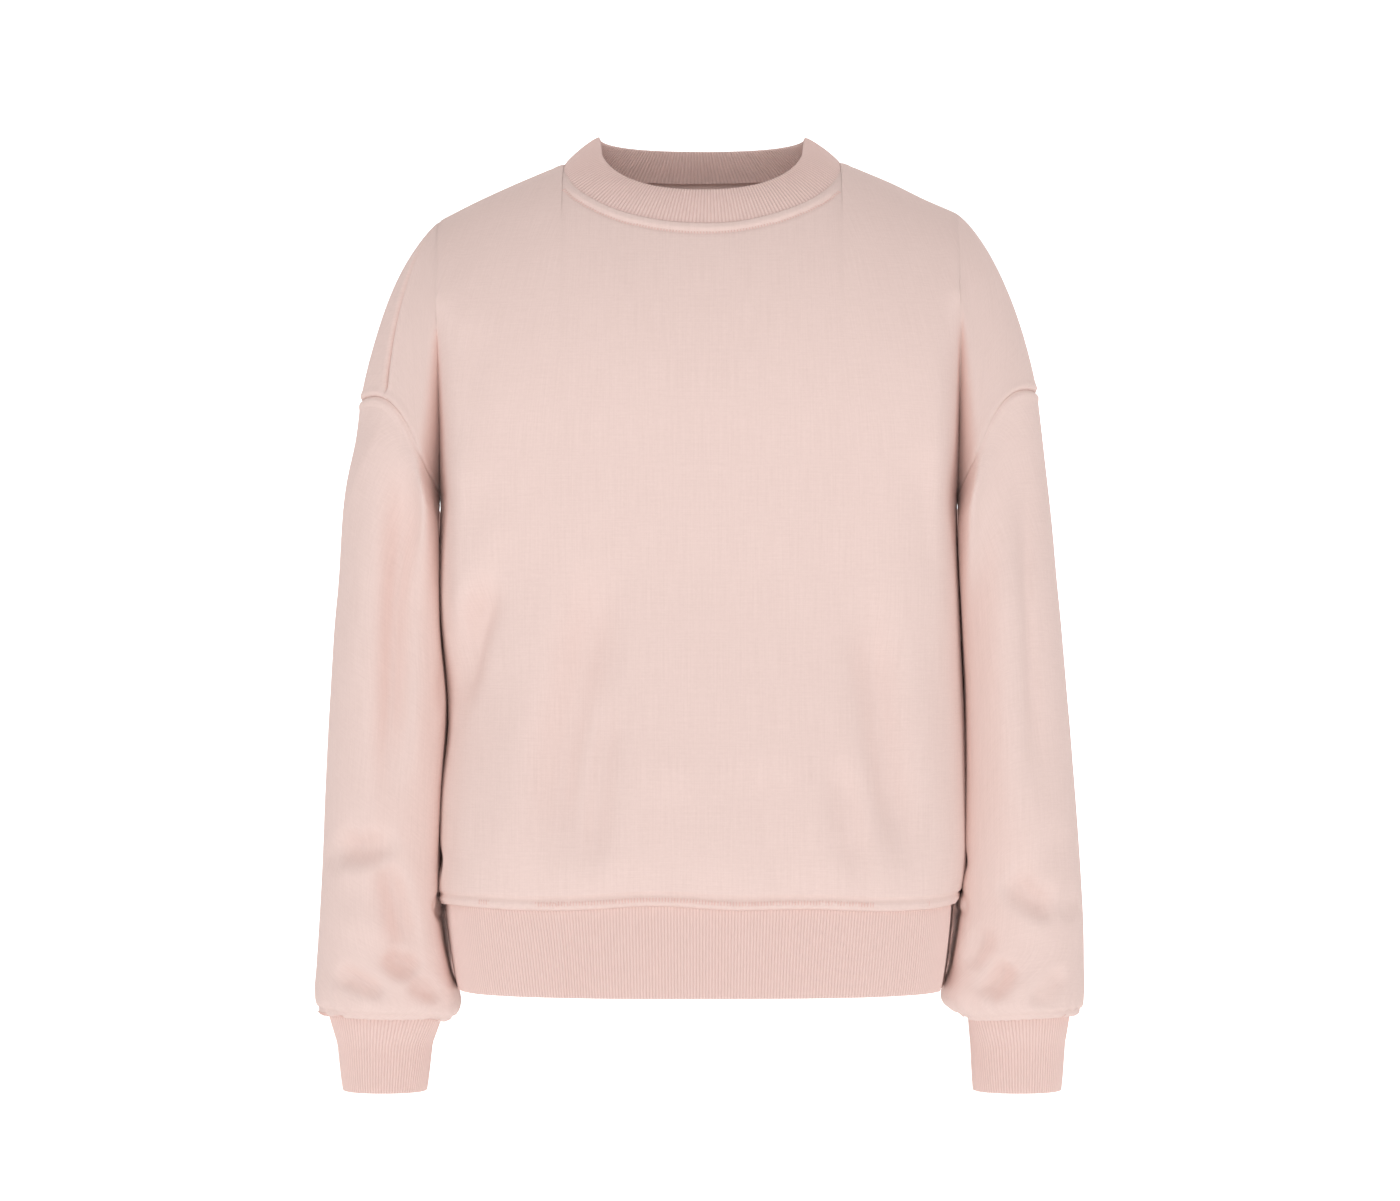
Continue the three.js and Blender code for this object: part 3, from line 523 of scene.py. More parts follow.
def arm_ridge(side, down):
    """Ridge of the arm, from the end of the shoulder down to the armhole seam."""
    shoulder = SHOULDER[side]
    start_x, start_z = shoulder_x(side), ridge_z(side, shoulder_x(side))
    corners = [
        (start_x, start_z),
        (start_x + RIDGE_TURN["out_x"], start_z + RIDGE_TURN["out_z"]),
        (shoulder["top_x"] + RIDGE_TURN["down_x"], shoulder["top_z"] + RIDGE_TURN["down_z"]),
        (shoulder["top_x"], shoulder["top_z"]),
    ]
    weights = [(1 - down) ** 3, 3 * (1 - down) ** 2 * down, 3 * (1 - down) * down**2, down**3]
    return [sum(weight * corner[axis] for weight, corner in zip(weights, corners)) for axis in (0, 1)]


def arch_turn(side, down):
    rise = (arch_start(side) - BUST_Z) / (ridge_z(side, shoulder_x(side)) - BUST_Z)
    return np.arcsin(rise * (1 - down))


def arm_points(side, down, turned):
    """The arm above its seam: turned is -1 at the front crease, 0 on the ridge, 1 at the back one."""
    faces = {face: arm_points_of(face, side, down, turned) for face in ("front", "back")}
    return np.where(turned[..., None] < 0, faces["front"], faces["back"])


def arm_points_of(face, side, down, turned):
    crease_z = lerp(arch_start(side), ARMPIT_Z, down)
    crease_x = half_width(side, crease_z)
    ridge_x, ridge_height = arm_ridge(side, down)
    start = arch_turn(side, down)
    turn = lerp(math.pi / 2, start, np.abs(turned))
    out = (np.sin(turn) - np.sin(start)) / (1 - np.sin(start))
    at_top = smooth_y(face, side, shoulder_x(side), arch_start(side)) - RIDGE_Y
    depth = lerp(at_top, SIGN[face] * ARM_DEPTH[face], down)
    plain = RIDGE_Y + depth * np.cos(turn) / np.cos(start)
    distance = out * np.hypot(ridge_x - crease_x, ridge_height - crease_z)
    crease = crease_y(face, side, crease_z) - (RIDGE_Y + depth)
    bow = ARMHOLE_BOW[face] * down * np.sin(math.pi * out)
    return np.stack([
        SIGN[side] * lerp(crease_x, ridge_x, out),
        plain + crease * crease_notch(distance),
        lerp(crease_z, ridge_height, out) + bow,
    ], axis=-1)


def seam_turn(side, down):
    """Where the shoulder seam runs round the arm."""
    shoulder = SHOULDER[side]
    start = arch_turn(side, down)
    out = 1 - shoulder["seam_shift"] * down**SEAM_SHIFT_START
    turn = np.arcsin(lerp(np.sin(start), 1, out))
    return SIGN[shoulder["seam_face"]] * (math.pi / 2 - turn) / (math.pi / 2 - start)


def turn_places(face, side, down):
    crowding = 1 + ARMHOLE_CROWDING * down
    return lerp(SIGN[face], seam_turn(side, down), ARCH_PLACES**crowding)


def arm_half(face, side):
    """Half an arm cap: rows from the shoulder down to the armhole, columns from the crease up."""
    down = (1 - CREASE_PLACES[::-1])[:, None]
    turned = turn_places(face, side, down)
    return arm_points(side, np.broadcast_to(down, turned.shape), turned)


def sleeve_ring(side, share, turned):
    rows = SLEEVE[side]
    at = {name: along(rows, "share", share, name) for name in SLEEVE_COLUMNS[1:]}
    angle = np.abs(turned) * math.pi
    reach = np.where(turned < 0, at["front"], at["back"])
    inward = (1 - np.cos(angle)) / 2
    lean = smoothstep(share, 0, SLEEVE_LEAN["full_from"])
    lean = lean * (1 - smoothstep(share, SLEEVE_LEAN["full_to"], SLEEVE_LEAN["ends"]))
    middle = (at["front"] + at["back"]) / 2
    middle = lerp(middle, at["front"], SLEEVE_LEAN["share"] * lean * inward**2)
    tuck = np.where(turned < 0, 0, at["tuck"] * inward * np.maximum(np.sin(angle), 0) ** 3)
    flatness = np.where((turned < 0) & (angle > math.pi / 2), SLEEVE_FLATNESS, 1)
    return np.stack([
        SIGN[side] * (lerp(at["outer"], at["inner"], inward) - tuck),
        middle + (reach - middle) * np.maximum(np.sin(angle), 0) ** flatness,
        lerp(at["outer_z"], at["inner_z"], inward),
    ], axis=-1)


def sleeve_half(face, side):
    """Half a sleeve: rows from the armhole to the cuff, columns from the under seam round to the top."""
    share = SLEEVE_PLACES[:, None]
    blend = smoothstep(share, 0, ARMHOLE_BLEND)
    seam = turn_places(face, side, np.ones(1))[None, :]
    even = SIGN[face] * (1 - steps(ARCH_STEPS))[None, :]
    turned = lerp(seam, even, blend)
    wide_share = np.broadcast_to(share, turned.shape)
    offset = arm_points(side, np.ones_like(seam), seam) - sleeve_ring(side, np.zeros_like(seam), seam)
    return sleeve_ring(side, wide_share, turned) + offset * (1 - blend)[..., None]


# ---------------------------------------------------------------- cloth as one welded surface


def grid_faces(shape, flip):
    """Corner numbers of the faces of a grid of points."""
    ids = np.arange(shape[0] * shape[1]).reshape(shape[:2])
    quads = np.stack([ids[:-1, :-1], ids[:-1, 1:], ids[1:, 1:], ids[1:, :-1]], axis=-1).reshape(-1, 4)
    return quads[:, ::-1] if flip else quads


def cloth_map(points):
    """Distances along and across a patch of cloth, in metres, for the knit to follow."""
    across = np.cumsum(np.linalg.norm(np.diff(points, axis=0, prepend=points[:1]), axis=2), axis=0)
    length = np.cumsum(np.linalg.norm(np.diff(points, axis=1, prepend=points[:, :1]), axis=2), axis=1)
    return across * MM, length * MM


def make_patches():
    patches = []
    for side in ("right", "left"):
        for face in ("front", "back"):
            turned = SIGN[side] * SIGN[face] > 0
            body, arm, sleeve = body_half(face, side), arm_half(face, side), sleeve_half(face, side)
            body_u, body_v = cloth_map(body)
            arm_v, arm_u = cloth_map(arm)
            sleeve_v, sleeve_u = cloth_map(sleeve)
            common = {"side": side, "face": face}
            patches.append({**common, "piece": f"{face}_panel", "part": "body", "points": body,
                            "flip": turned, "u": body_u - body_u[-1:], "v": body_v})
            patches.append({**common, "piece": f"{face}_panel", "part": "arm", "points": arm,
                            "flip": not turned, "u": arm_u, "v": -arm_v})
            patches.append({**common, "piece": f"{side}_sleeve", "part": "sleeve", "points": sleeve,
                            "flip": not turned, "u": sleeve_u * SIGN[face], "v": -sleeve_v})
    return patches


def weld(patches):
    """One number for each place on the cloth, shared by the patches that meet there."""
    points = np.concatenate([patch["points"].reshape(-1, 3) for patch in patches])
    keys = np.round(points / WELD + WELD_OFFSET).astype(np.int64)
    _, first, numbers = np.unique(keys, axis=0, return_index=True, return_inverse=True)
    numbers = numbers.reshape(-1)
    start = 0
    for patch in patches:
        count = patch["points"].shape[0] * patch["points"].shape[1]
        patch["ids"] = numbers[start:start + count].reshape(patch["points"].shape[:2])
        start += count
    return points[first]


def cloth_normals(points, patches):
    normals = np.zeros_like(points)
    for patch in patches:
        quads = patch["ids"].reshape(-1)[grid_faces(patch["ids"].shape, patch["flip"])]
        corners = points[quads]
        normal = np.cross(corners[:, 2] - corners[:, 0], corners[:, 3] - corners[:, 1])
        for corner in range(4):
            np.add.at(normals, quads[:, corner], normal)
    return normals / np.maximum(np.linalg.norm(normals, axis=1, keepdims=True), 1e-9)


def shoulder_level(face, side, points):
    """0 in the middle of the body and 1 on the smooth surface of chest, back and shoulders."""
    x, y, z = points.T
    centre = along(BODY, "z", BUST_Z, face)
    chest = lerp(centre, CHEST_EDGE_Y[face], np.clip(np.abs(x) / shoulder_x(side), 0, 1) ** 3)
    across = (y - RIDGE_Y) / (chest - RIDGE_Y)
    rise = (z - BUST_Z) / (crest_z(face, side, x) - BUST_Z)
    return across**2 + rise**2


def cloth_directions(points, patches):
    """Outward directions; beside the neck, where the grid is very fine, they are worked out."""
    normals = cloth_normals(points, patches)
    near = (np.abs(points[:, 0]) < NECK_REGION["half_width"]) & (points[:, 2] > NECK_REGION["from_z"])
    for side in ("right", "left"):
        for face in ("front", "back"):
            here = near & (points[:, 0] * SIGN[side] >= 0) & ((points[:, 1] - RIDGE_Y) * SIGN[face] >= 0)
            slope = np.stack([shoulder_level(face, side, points[here] + step)
                              - shoulder_level(face, side, points[here] - step)
                              for step in np.eye(3) * NECK_REGION["probe"]], axis=1)
            normals[here] = slope / np.linalg.norm(slope, axis=1, keepdims=True)
    return normals


def smooth_path(path, count):
    """Points on a smooth curve through the corners of a path."""
    corners = [{"at": index, "a": a, "b": b} for index, (a, b) in enumerate(path)]
    places = steps(count) * (len(path) - 1)
    return np.stack([along(corners, "at", places, "a"), along(corners, "at", places, "b")], axis=1)


def beside_path(places, path):
    """Signed distance of points from a path in a plane, and the share of its length beside them."""
    best = np.full(len(places), np.inf)
    signed = np.zeros(len(places))
    share = np.zeros(len(places))
    for index in range(len(path) - 1):
        run = path[index + 1] - path[index]
        offset = places - path[index]
        t = np.clip(offset @ run / (run @ run), 0, 1)
        gap = offset - t[:, None] * run
        distance = np.hypot(gap[:, 0], gap[:, 1])
        nearer = distance < best
        turn = np.sign(run[0] * offset[:, 1] - run[1] * offset[:, 0])
        best = np.where(nearer, distance, best)
        signed = np.where(nearer, distance * turn, signed)
        share = np.where(nearer, (index + t) / (len(path) - 1), share)
    return signed, share


def press_folds(points, normals, fold_depth):
    moved = points.copy()
    for fold in FOLDS:
        axis, facing = FOLD_VIEWS[fold["view"]]
        path = smooth_path(fold["path"], FOLD_PATH_STEPS)
        places = points[:, [axis, 2]]
        reach = FOLD_REACH * fold["width"]
        near = np.all((places > path.min(axis=0) - reach) & (places < path.max(axis=0) + reach), axis=1)
        weight = np.clip(normals @ np.array(facing, float) * FOLD_FACING, 0, 1)
        near &= weight > 0
        signed, share = beside_path(places[near], path)
        across = signed / fold["width"]
        ends = smoothstep(share, *FOLD_ENDS) * smoothstep(1 - share, *FOLD_ENDS)
        profile = np.exp(-across**2) * (1 + fold["skew"] * FOLD_SKEW * across)
        depth = fold_depth * fold["depth"] * profile * ends * weight[near]
        moved[near] -= normals[near] * depth[:, None]
    return moved


def add_waves(points, normals):
    height = np.zeros(len(points))
    for wave in WAVES:
        scale = np.array([1 / wave["across"], 1 / wave["across"], 1 / wave["along"]])
        spots = points * scale + wave["seed"]
        height += wave["height"] * np.array([noise.noise(Vector(spot)) for spot in spots])
    return points + normals * height[:, None]


def seam_lines(patches):
    """Seams as rows of place numbers, each with its kind."""
    grid = {(patch["face"], patch["side"], patch["part"]): patch["ids"] for patch in patches}

    def loop(row_of, part):
        rows = [row_of(grid["front", "right", part]), row_of(grid["front", "left", part])[::-1],
                row_of(grid["back", "left", part]), row_of(grid["back", "right", part])[::-1]]
        return np.concatenate([row[:-1] for row in rows] + [rows[0][:1]])

    lines = {
        "neck": ("neckline", loop(lambda ids: ids[SHOULDER_STEPS:, -1], "body")),
        "hem": ("topstitched", loop(lambda ids: ids[:, 0], "body")),
    }
    for side in ("right", "left"):
        front, back = grid["front", side, "sleeve"], grid["back", side, "sleeve"]
        for name, row, kind in (("armhole", 0, "armhole"), ("cuff", -1, "topstitched")):
            ring = np.concatenate([front[row], back[row][::-1][1:]])
            lines[f"{side}_{name}"] = (kind, ring)
        lines[f"{side}_under"] = ("quiet", front[:, 0])
        body, arm = grid["front", side, "body"], grid["front", side, "arm"]
        shoulder = np.concatenate([body[:SHOULDER_STEPS + 1, -1][::-1], arm[1:, -1]])
        lines[f"{side}_shoulder"] = ("pulled", shoulder)
        lines[f"{side}_side"] = ("quiet", body[0, :TORSO_STEPS + 1])
    return lines


def distance_to_line(points, line):
    """Distance of points from a line in space, and how far along it each is."""
    low, high = line.min(axis=0) - SEAM_MARGIN, line.max(axis=0) + SEAM_MARGIN
    near = np.flatnonzero(np.all((points > low) & (points < high), axis=1))
    best = np.full(len(near), np.inf)
    place = np.zeros(len(near))
    lengths = np.concatenate([[0], np.cumsum(np.linalg.norm(np.diff(line, axis=0), axis=1))])
    for index in range(len(line) - 1):
        run = line[index + 1] - line[index]
        length = run @ run
        if length < 1e-9:
            continue
        offset = points[near] - line[index]
        t = np.clip(offset @ run / length, 0, 1)
        distance = np.linalg.norm(offset - t[:, None] * run, axis=1)
        nearer = distance < best
        best = np.where(nearer, distance, best)
        place = np.where(nearer, lengths[index] + t * math.sqrt(length), place)
    return near, best, place


def press_seams(points, normals, lines):
    """Presses every seam in and lifts the cloth beside it, so that seams which meet join smoothly."""
    low = np.zeros(len(points))
    high = np.zeros(len(points))
    for kind, ids in lines.values():
        shape = SEAM_PROFILES[kind]
        near, distance, place = distance_to_line(points, points[ids])
        ditch = -shape["ditch"] * np.exp(-((distance / shape["width"]) ** 2))
        wander = PUCKER["wander"] * np.sin(place / PUCKER["wander_length"])
        pucker = 1 + shape["pucker"] * np.sin(2 * math.pi * place / PUCKER["length"] + wander)
        edge = (-shape["reach"] - RAISED_END["beyond"], -shape["reach"] + RAISED_END["inside"])
        raised = smoothstep(distance, 0, shape["width"] * 2) * smoothstep(-distance, *edge)
        lift = shape["lift"] * raised * pucker
        if kind in STITCHED_SEAMS:
            beside = (distance - STITCH_LINE) / STITCH_SINK["width"]
            ditch -= STITCH_SINK["depth"] * np.exp(-(beside**2))
        if shape["ends"]:
            fade = smoothstep(place, SEAM_END_START, shape["ends"])
            fade = fade * smoothstep(place.max() - place, SEAM_END_START, shape["ends"])
            ditch, lift = ditch * fade, lift * fade
        if kind in SEAM_SOFTENING:
            soft = SEAM_SOFTENING[kind]
            out = smoothstep(np.abs(points[near, 0]), soft["from_x"], soft["to_x"])
            strength = lerp(soft["least"], 1, out)
            ditch, lift = ditch * strength, lift * strength
        low[near] = np.minimum(low[near], ditch)
        high[near] = np.maximum(high[near], lift)
    return points + normals * (low + high)[:, None]


def wander_hem(points):
    """Lets the hem seam rise and fall a little, as it does under the weight of the cloth."""
    angle = np.arctan2(points[:, 1], points[:, 0])
    shift = sum(wave["height"] * np.sin(wave["turns"] * angle + wave["phase"])
                for wave in HEM_WANDER)
    on_body = 1 - smoothstep(points[:, 2], HEM_SEAM_Z, HEM_SEAM_Z + HEM_WANDER_REACH)
    inside = np.abs(points[:, 0]) < half_width("right", HEM_SEAM_Z) + HEM_WANDER_MARGIN
    moved = points.copy()
    moved[:, 2] += shift * on_body * inside
    return moved


def gather_cuffs(points, normals, patches):
    """Small upright gathers where each sleeve is sewn into its narrower cuff."""
    shape = CUFF_GATHERS
    height = np.zeros(len(points))
    for patch in patches:
        if patch["part"] != "sleeve":
            continue
        place = points[patch["ids"]]
        middle = place[-1].mean(axis=0)
        angle = np.arctan2(place[..., 1] - middle[1], place[..., 0] - middle[0])
        above = np.abs(place[..., 2] - CUFF_SEAM_Z)
        fade = np.exp(-((above / shape["reach"]) ** 2)) * smoothstep(above, 0, shape["start"])
        wander = shape["wander"] * np.sin(shape["wander_turns"] * angle)
        wave = np.sin(shape["count"] * angle + wander)
        uneven = shape["mean"] + shape["change"] * np.sin(shape["change_turns"] * angle + shape["phase"])
        height[patch["ids"]] = shape["height"] * fade * wave * uneven
    return points + normals * height[:, None]


@functools.lru_cache(maxsize=2)
def whole_cloth(fold_depth):
    """Patches of cloth with their final points, and the seam lines between them."""
    patches = make_patches()
    points = weld(patches)
    points = press_folds(points, cloth_directions(points, patches), fold_depth)
    points = add_waves(points, cloth_directions(points, patches))
    points = wander_hem(points)
    points = gather_cuffs(points, cloth_directions(points, patches), patches)
    lines = seam_lines(patches)
    points = press_seams(points, cloth_directions(points, patches), lines)
    normals = cloth_directions(points, patches)
    seams = {name: {"points": points[ids], "normals": normals[ids]}
             for name, (_, ids) in lines.items()}
    for patch in patches:
        patch["points"] = points[patch["ids"]]
    return patches, seams


# ---------------------------------------------------------------- meshes


def settings():
    return bpy.context.scene.sweatshirt


def grid_into(bm, uv_layer, points, u, v, flip):
    """Adds a grid to a bmesh, moves its points on to a surface and maps its cloth."""
    rows, columns = points.shape[:2]
    made = bmesh.ops.create_grid(bm, x_segments=columns - 1, y_segments=rows - 1, size=1)
    verts = made["verts"]
    faces = list({face for vert in verts for face in vert.link_faces})
    place = {}
    for vert in verts:
        row = round((vert.co.y + 1) / 2 * (rows - 1))
        column = round((vert.co.x + 1) / 2 * (columns - 1))
        place[vert] = (row, column)
    for face in faces:
        face.smooth = True
        for loop in face.loops:
            row, column = place[loop.vert]
            loop[uv_layer].uv = (u[row, column], v[row, column])
    for vert, (row, column) in place.items():
        vert.co = points[row, column] * MM
    if flip:
        bmesh.ops.reverse_faces(bm, faces=faces)


def finish_piece(name, bm, material, nodes=()):
    """Makes the object, hangs it on the body it rides, gives it its finish and hides the CAD parts it
    stands for.
    """
    mesh = bpy.data.meshes.new(name)
    bm.to_mesh(mesh)
    bm.free()
    mesh.materials.append(material)
    piece = bpy.data.objects.new(name, mesh)
    bpy.context.scene.collection.objects.link(piece)
    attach(piece, "root")
    if nodes:
        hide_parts(*nodes)
    return piece


def thicken(piece, thickness):
    solid = piece.modifiers.new("cloth thickness", "SOLIDIFY")
    solid.thickness = thickness
    solid.offset = -1
    solid.use_rim = True
    return solid


def sew_panel(name, material):
    patches, _ = whole_cloth(settings().fold_depth)
    bm = bmesh.new()
    uv_layer = bm.loops.layers.uv.new("cloth")
    for patch in patches:
        if patch["piece"] == name:
            grid_into(bm, uv_layer, patch["points"], patch["u"], patch["v"], patch["flip"])
    bmesh.ops.remove_doubles(bm, verts=bm.verts, dist=WELD * MM)
    piece = finish_piece(f"{name}_cloth", bm, material, [name])
    thicken(piece, settings().cloth_thickness)
    return piece


def spread(line, count):
    """Places spread evenly along a closed line, with their outward directions."""
    points, outs = line["points"], line["outs"]
    lengths = np.concatenate([[0], np.cumsum(np.linalg.norm(np.diff(points, axis=0), axis=1))])
    places = np.arange(count + 1) / count * lengths[-1]
    even, facing = (np.stack([np.interp(places, lengths, column) for column in values.T], axis=1)
                    for values in (points, outs))
    return even, facing / np.linalg.norm(facing, axis=1, keepdims=True)


def fold_rows(layers, overlap):
    """Rows of a strip folded double: how far out from its seam, how far in, and the side it is on.

    overlap is how far the inner layer runs on past the seam.
    """
    outer = [(share, 0.0, 1.0) for share in np.linspace(0, 1, layers)]
    turn = [(1 + math.sin(angle) * BAND_TURN_SHARE, (1 - math.cos(angle)) / 2, math.cos(angle))
            for angle in np.linspace(0, math.pi, BAND_TURNS + 2)[1:-1]]
    inner = [(share, 1.0, -1.0) for share in np.linspace(1, -overlap, layers)]
    return outer + turn + inner


def knit_band(node, lines, outs, ribs, layers, puff, lean=(), overlap=0.0):
    """A strip of rib knit folded double, from its seam to its free edge and back inside."""
    sizes = settings()
    count = ribs * RIB_STEPS
    stations = [spread({"points": line, "outs": outs}, count) for line in lines]
    seam, seam_out = stations[0]
    rib = 0.5 + 0.5 * np.cos(2 * math.pi * np.arange(count + 1) / RIB_STEPS)
    rows = fold_rows(layers, overlap)
    grid = np.zeros((len(rows), count + 1, 3))
    height = np.zeros(len(rows))
    travelled = 0.0
    for index, (share, inward, facing) in enumerate(rows):
        at = min(share, 1.0) * (len(stations) - 1)
        low = min(int(at), len(stations) - 2)
        points = lerp(stations[low][0], stations[low + 1][0], at - low)
        outs = lerp(stations[low][1], stations[low + 1][1], at - low)
        outs = outs / np.linalg.norm(outs, axis=1, keepdims=True)
        down = stations[-1][0] - stations[-2][0]
        down = down / np.linalg.norm(down, axis=1, keepdims=True)
        stretch = np.linalg.norm(stations[-1][0] - stations[0][0], axis=1).mean()
        taper = smoothstep(min(share, 1) * stretch, 0, RIB_TAPER)
        swell = puff * math.sin(math.pi * share) ** BAND_SWELL["power"] if 0 < share < 1 else 0.0
        rib_out = sizes.rib_height / MM * (rib - 1) * lerp(RIB_AT_SEAM, 1, taper) * facing
        offset = swell * max(facing, BAND_SWELL["inside"]) - inward * BAND_DEPTH + rib_out
        points = points + outs * np.reshape(offset, (-1, 1)) + down * max(0.0, share - 1) * stretch
        grid[index] = lean_ribs(points, min(share, 1.0), lean)
        if index:
            travelled += np.linalg.norm(grid[index] - grid[index - 1], axis=1).mean()
        height[index] = travelled
    bm = bmesh.new()
    uv_layer = bm.loops.layers.uv.new("cloth")
    u = np.tile(np.arange(count + 1) / RIB_STEPS, (len(rows), 1))
    v = np.tile(height[:, None] * MM, (1, count + 1))
    grid_into(bm, uv_layer, grid, u, v, False)
    bmesh.ops.remove_doubles(bm, verts=bm.verts, dist=WELD * MM)
    outward_faces(bm, seam_out, seam)
    return finish_piece(f"{node}_knit", bm, rib_material(), [node])


def lean_ribs(points, share, lean):
    """Lets the ribs lean sideways where the cloth above has twisted them."""
    moved = points.copy()
    for place in lean:
        near = np.exp(-(((points[:, 0] - place["x"]) / place["width"]) ** 2)) * (points[:, 1] < 0)
        moved[:, 0] += place["shift"] * near * (share - 0.5 * share**2)
    return moved


def outward_faces(bm, outs, points):
    """Turns all faces round if the outer layer, beside its seam, faces inwards."""
    bm.faces.ensure_lookup_table()
    bm.normal_update()
    seam = Vector(points[0]) * MM
    nearest = min(bm.faces, key=lambda face: (face.calc_center_median() - seam).length)
    if nearest.normal.dot(Vector(outs[0])) < 0:
        bmesh.ops.reverse_faces(bm, faces=bm.faces)


def level_outs(points):
    """Outward directions of a line that runs round a level opening."""
    run = np.roll(points[:-1], -1, axis=0) - np.roll(points[:-1], 1, axis=0)
    outs = np.stack([run[:, 1], -run[:, 0], np.zeros(len(run))], axis=1)
    middle = points[:-1].mean(axis=0)
    if ((points[:-1] - middle) * outs).sum() < 0:
        outs = -outs
    outs /= np.linalg.norm(outs, axis=1, keepdims=True)
    return np.concatenate([outs, outs[:1]])


# ---------------------------------------------------------------- materials


def new_group(name, inputs, outputs):
    group = bpy.data.node_groups.new(name, "ShaderNodeTree")
    for label, kind, value in inputs:
        socket = group.interface.new_socket(label, in_out="INPUT", socket_type=kind)
        socket.default_value = value
    for label, kind in outputs:
        group.interface.new_socket(label, in_out="OUTPUT", socket_type=kind)
    return group, group.nodes.new("NodeGroupInput"), group.nodes.new("NodeGroupOutput")


def math_node(tree, operation, first, second=None):
    node = tree.nodes.new("ShaderNodeMath")
    node.operation = operation
    for index, value in enumerate((first, second)):
        if value is None:
            continue
        if isinstance(value, (int, float)):
            node.inputs[index].default_value = value
        else:
            tree.links.new(value, node.inputs[index])
    return node.outputs[0]


def add(tree, *values):
    return functools.reduce(lambda total, value: math_node(tree, "ADD", total, value), values)


def multiply(tree, *values):
    return functools.reduce(lambda total, value: math_node(tree, "MULTIPLY", total, value), values)


def subtract(tree, first, second):
    return math_node(tree, "SUBTRACT", first, second)


def divide(tree, first, second):
    return math_node(tree, "DIVIDE", first, second)


def stretched_noise(tree, vector, kind):
    scale, detail, roughness = KNIT_NOISE[kind]
    mapping = tree.nodes.new("ShaderNodeMapping")
    mapping.inputs["Scale"].default_value = scale
    texture = tree.nodes.new("ShaderNodeTexNoise")
    texture.inputs["Scale"].default_value = 1
    texture.inputs["Detail"].default_value = detail
    texture.inputs["Roughness"].default_value = roughness
    tree.links.new(vector, mapping.inputs["Vector"])
    tree.links.new(mapping.outputs[0], texture.inputs["Vector"])
    return texture.outputs[0]


@functools.lru_cache(maxsize=1)
def knit_group():
    """Plain knit: columns of small V loops, faint yarn streaks and a soft mottle."""
    group, source, result = new_group(
        "knit face",
        [("Cloth", "NodeSocketVector", (0, 0, 0)), ("Pitch", "NodeSocketFloat", 0.0009),
         ("Streaks", "NodeSocketFloat", 0.5), ("Mottle", "NodeSocketFloat", 0.5)],
        [("Tone", "NodeSocketFloat"), ("Height", "NodeSocketFloat")],
    )
    links = group.links
    cloth, pitch = source.outputs["Cloth"], source.outputs["Pitch"]
    split = group.nodes.new("ShaderNodeSeparateXYZ")
    links.new(cloth, split.inputs[0])
    wale = divide(group, split.outputs["X"], pitch)
    across = math_node(group, "ABSOLUTE", subtract(group, math_node(group, "FRACT", wale), 0.5))
    course = multiply(group, divide(group, split.outputs["Y"], pitch), COURSES_PER_WALE)
    loops = math_node(group, "SINE", multiply(group, add(group, course, across), 2 * math.pi))
    columns = math_node(group, "COSINE", multiply(group, wale, 2 * math.pi))
    height = add(group, multiply(group, loops, LOOP_RELIEF), multiply(group, columns, -LOOP_RELIEF),
                 stretched_noise(group, cloth, "fuzz"))
    streak, upright, mottle = (subtract(group, stretched_noise(group, cloth, kind), 0.5)
                               for kind in ("streak", "upright", "mottle"))
    tone = multiply(group, add(group, streak, upright), source.outputs["Streaks"])
    speck = multiply(group, mottle, source.outputs["Mottle"])
    links.new(add(group, tone, speck), result.inputs["Tone"])
    links.new(height, result.inputs["Height"])
    return group


@functools.lru_cache(maxsize=1)
def rib_group():
    """Rib knit: painted shade darkens each groove between two ribs, with small loops along each rib."""
    group, source, result = new_group(
        "rib face",
        [("Cloth", "NodeSocketVector", (0, 0, 0)), ("Painted groove shade", "NodeSocketFloat", 0.5),
         ("Loop length", "NodeSocketFloat", 0.0012)],
        [("Tone", "NodeSocketFloat"), ("Height", "NodeSocketFloat")],
    )
    links = group.links
    cloth = source.outputs["Cloth"]
    split = group.nodes.new("ShaderNodeSeparateXYZ")
    links.new(cloth, split.inputs[0])
    wave = math_node(group, "COSINE", multiply(group, split.outputs["X"], 2 * math.pi))
    # Painted shade: darker towards the bottom of each groove between the ribs, which the mesh already has
    groove = math_node(group, "POWER", multiply(group, subtract(group, 1, wave), 0.5), GROOVE_SHADE_POWER)
    loops = divide(group, split.outputs["Y"], source.outputs["Loop length"])
    loops = math_node(group, "SINE", multiply(group, loops, 2 * math.pi))
    uneven = subtract(group, stretched_noise(group, cloth, "rib"), 0.5)
    # Tone is the painted groove shade plus the yarn's uneven tone
    tone = multiply(group, groove, multiply(group, source.outputs["Painted groove shade"], -1))
    tone = add(group, tone, multiply(group, uneven, RIB_UNEVENNESS))
    height = add(group, multiply(group, loops, RIB_LOOP_RELIEF), stretched_noise(group, cloth, "rib_fuzz"))
    links.new(tone, result.inputs["Tone"])
    links.new(height, result.inputs["Height"])
    return group


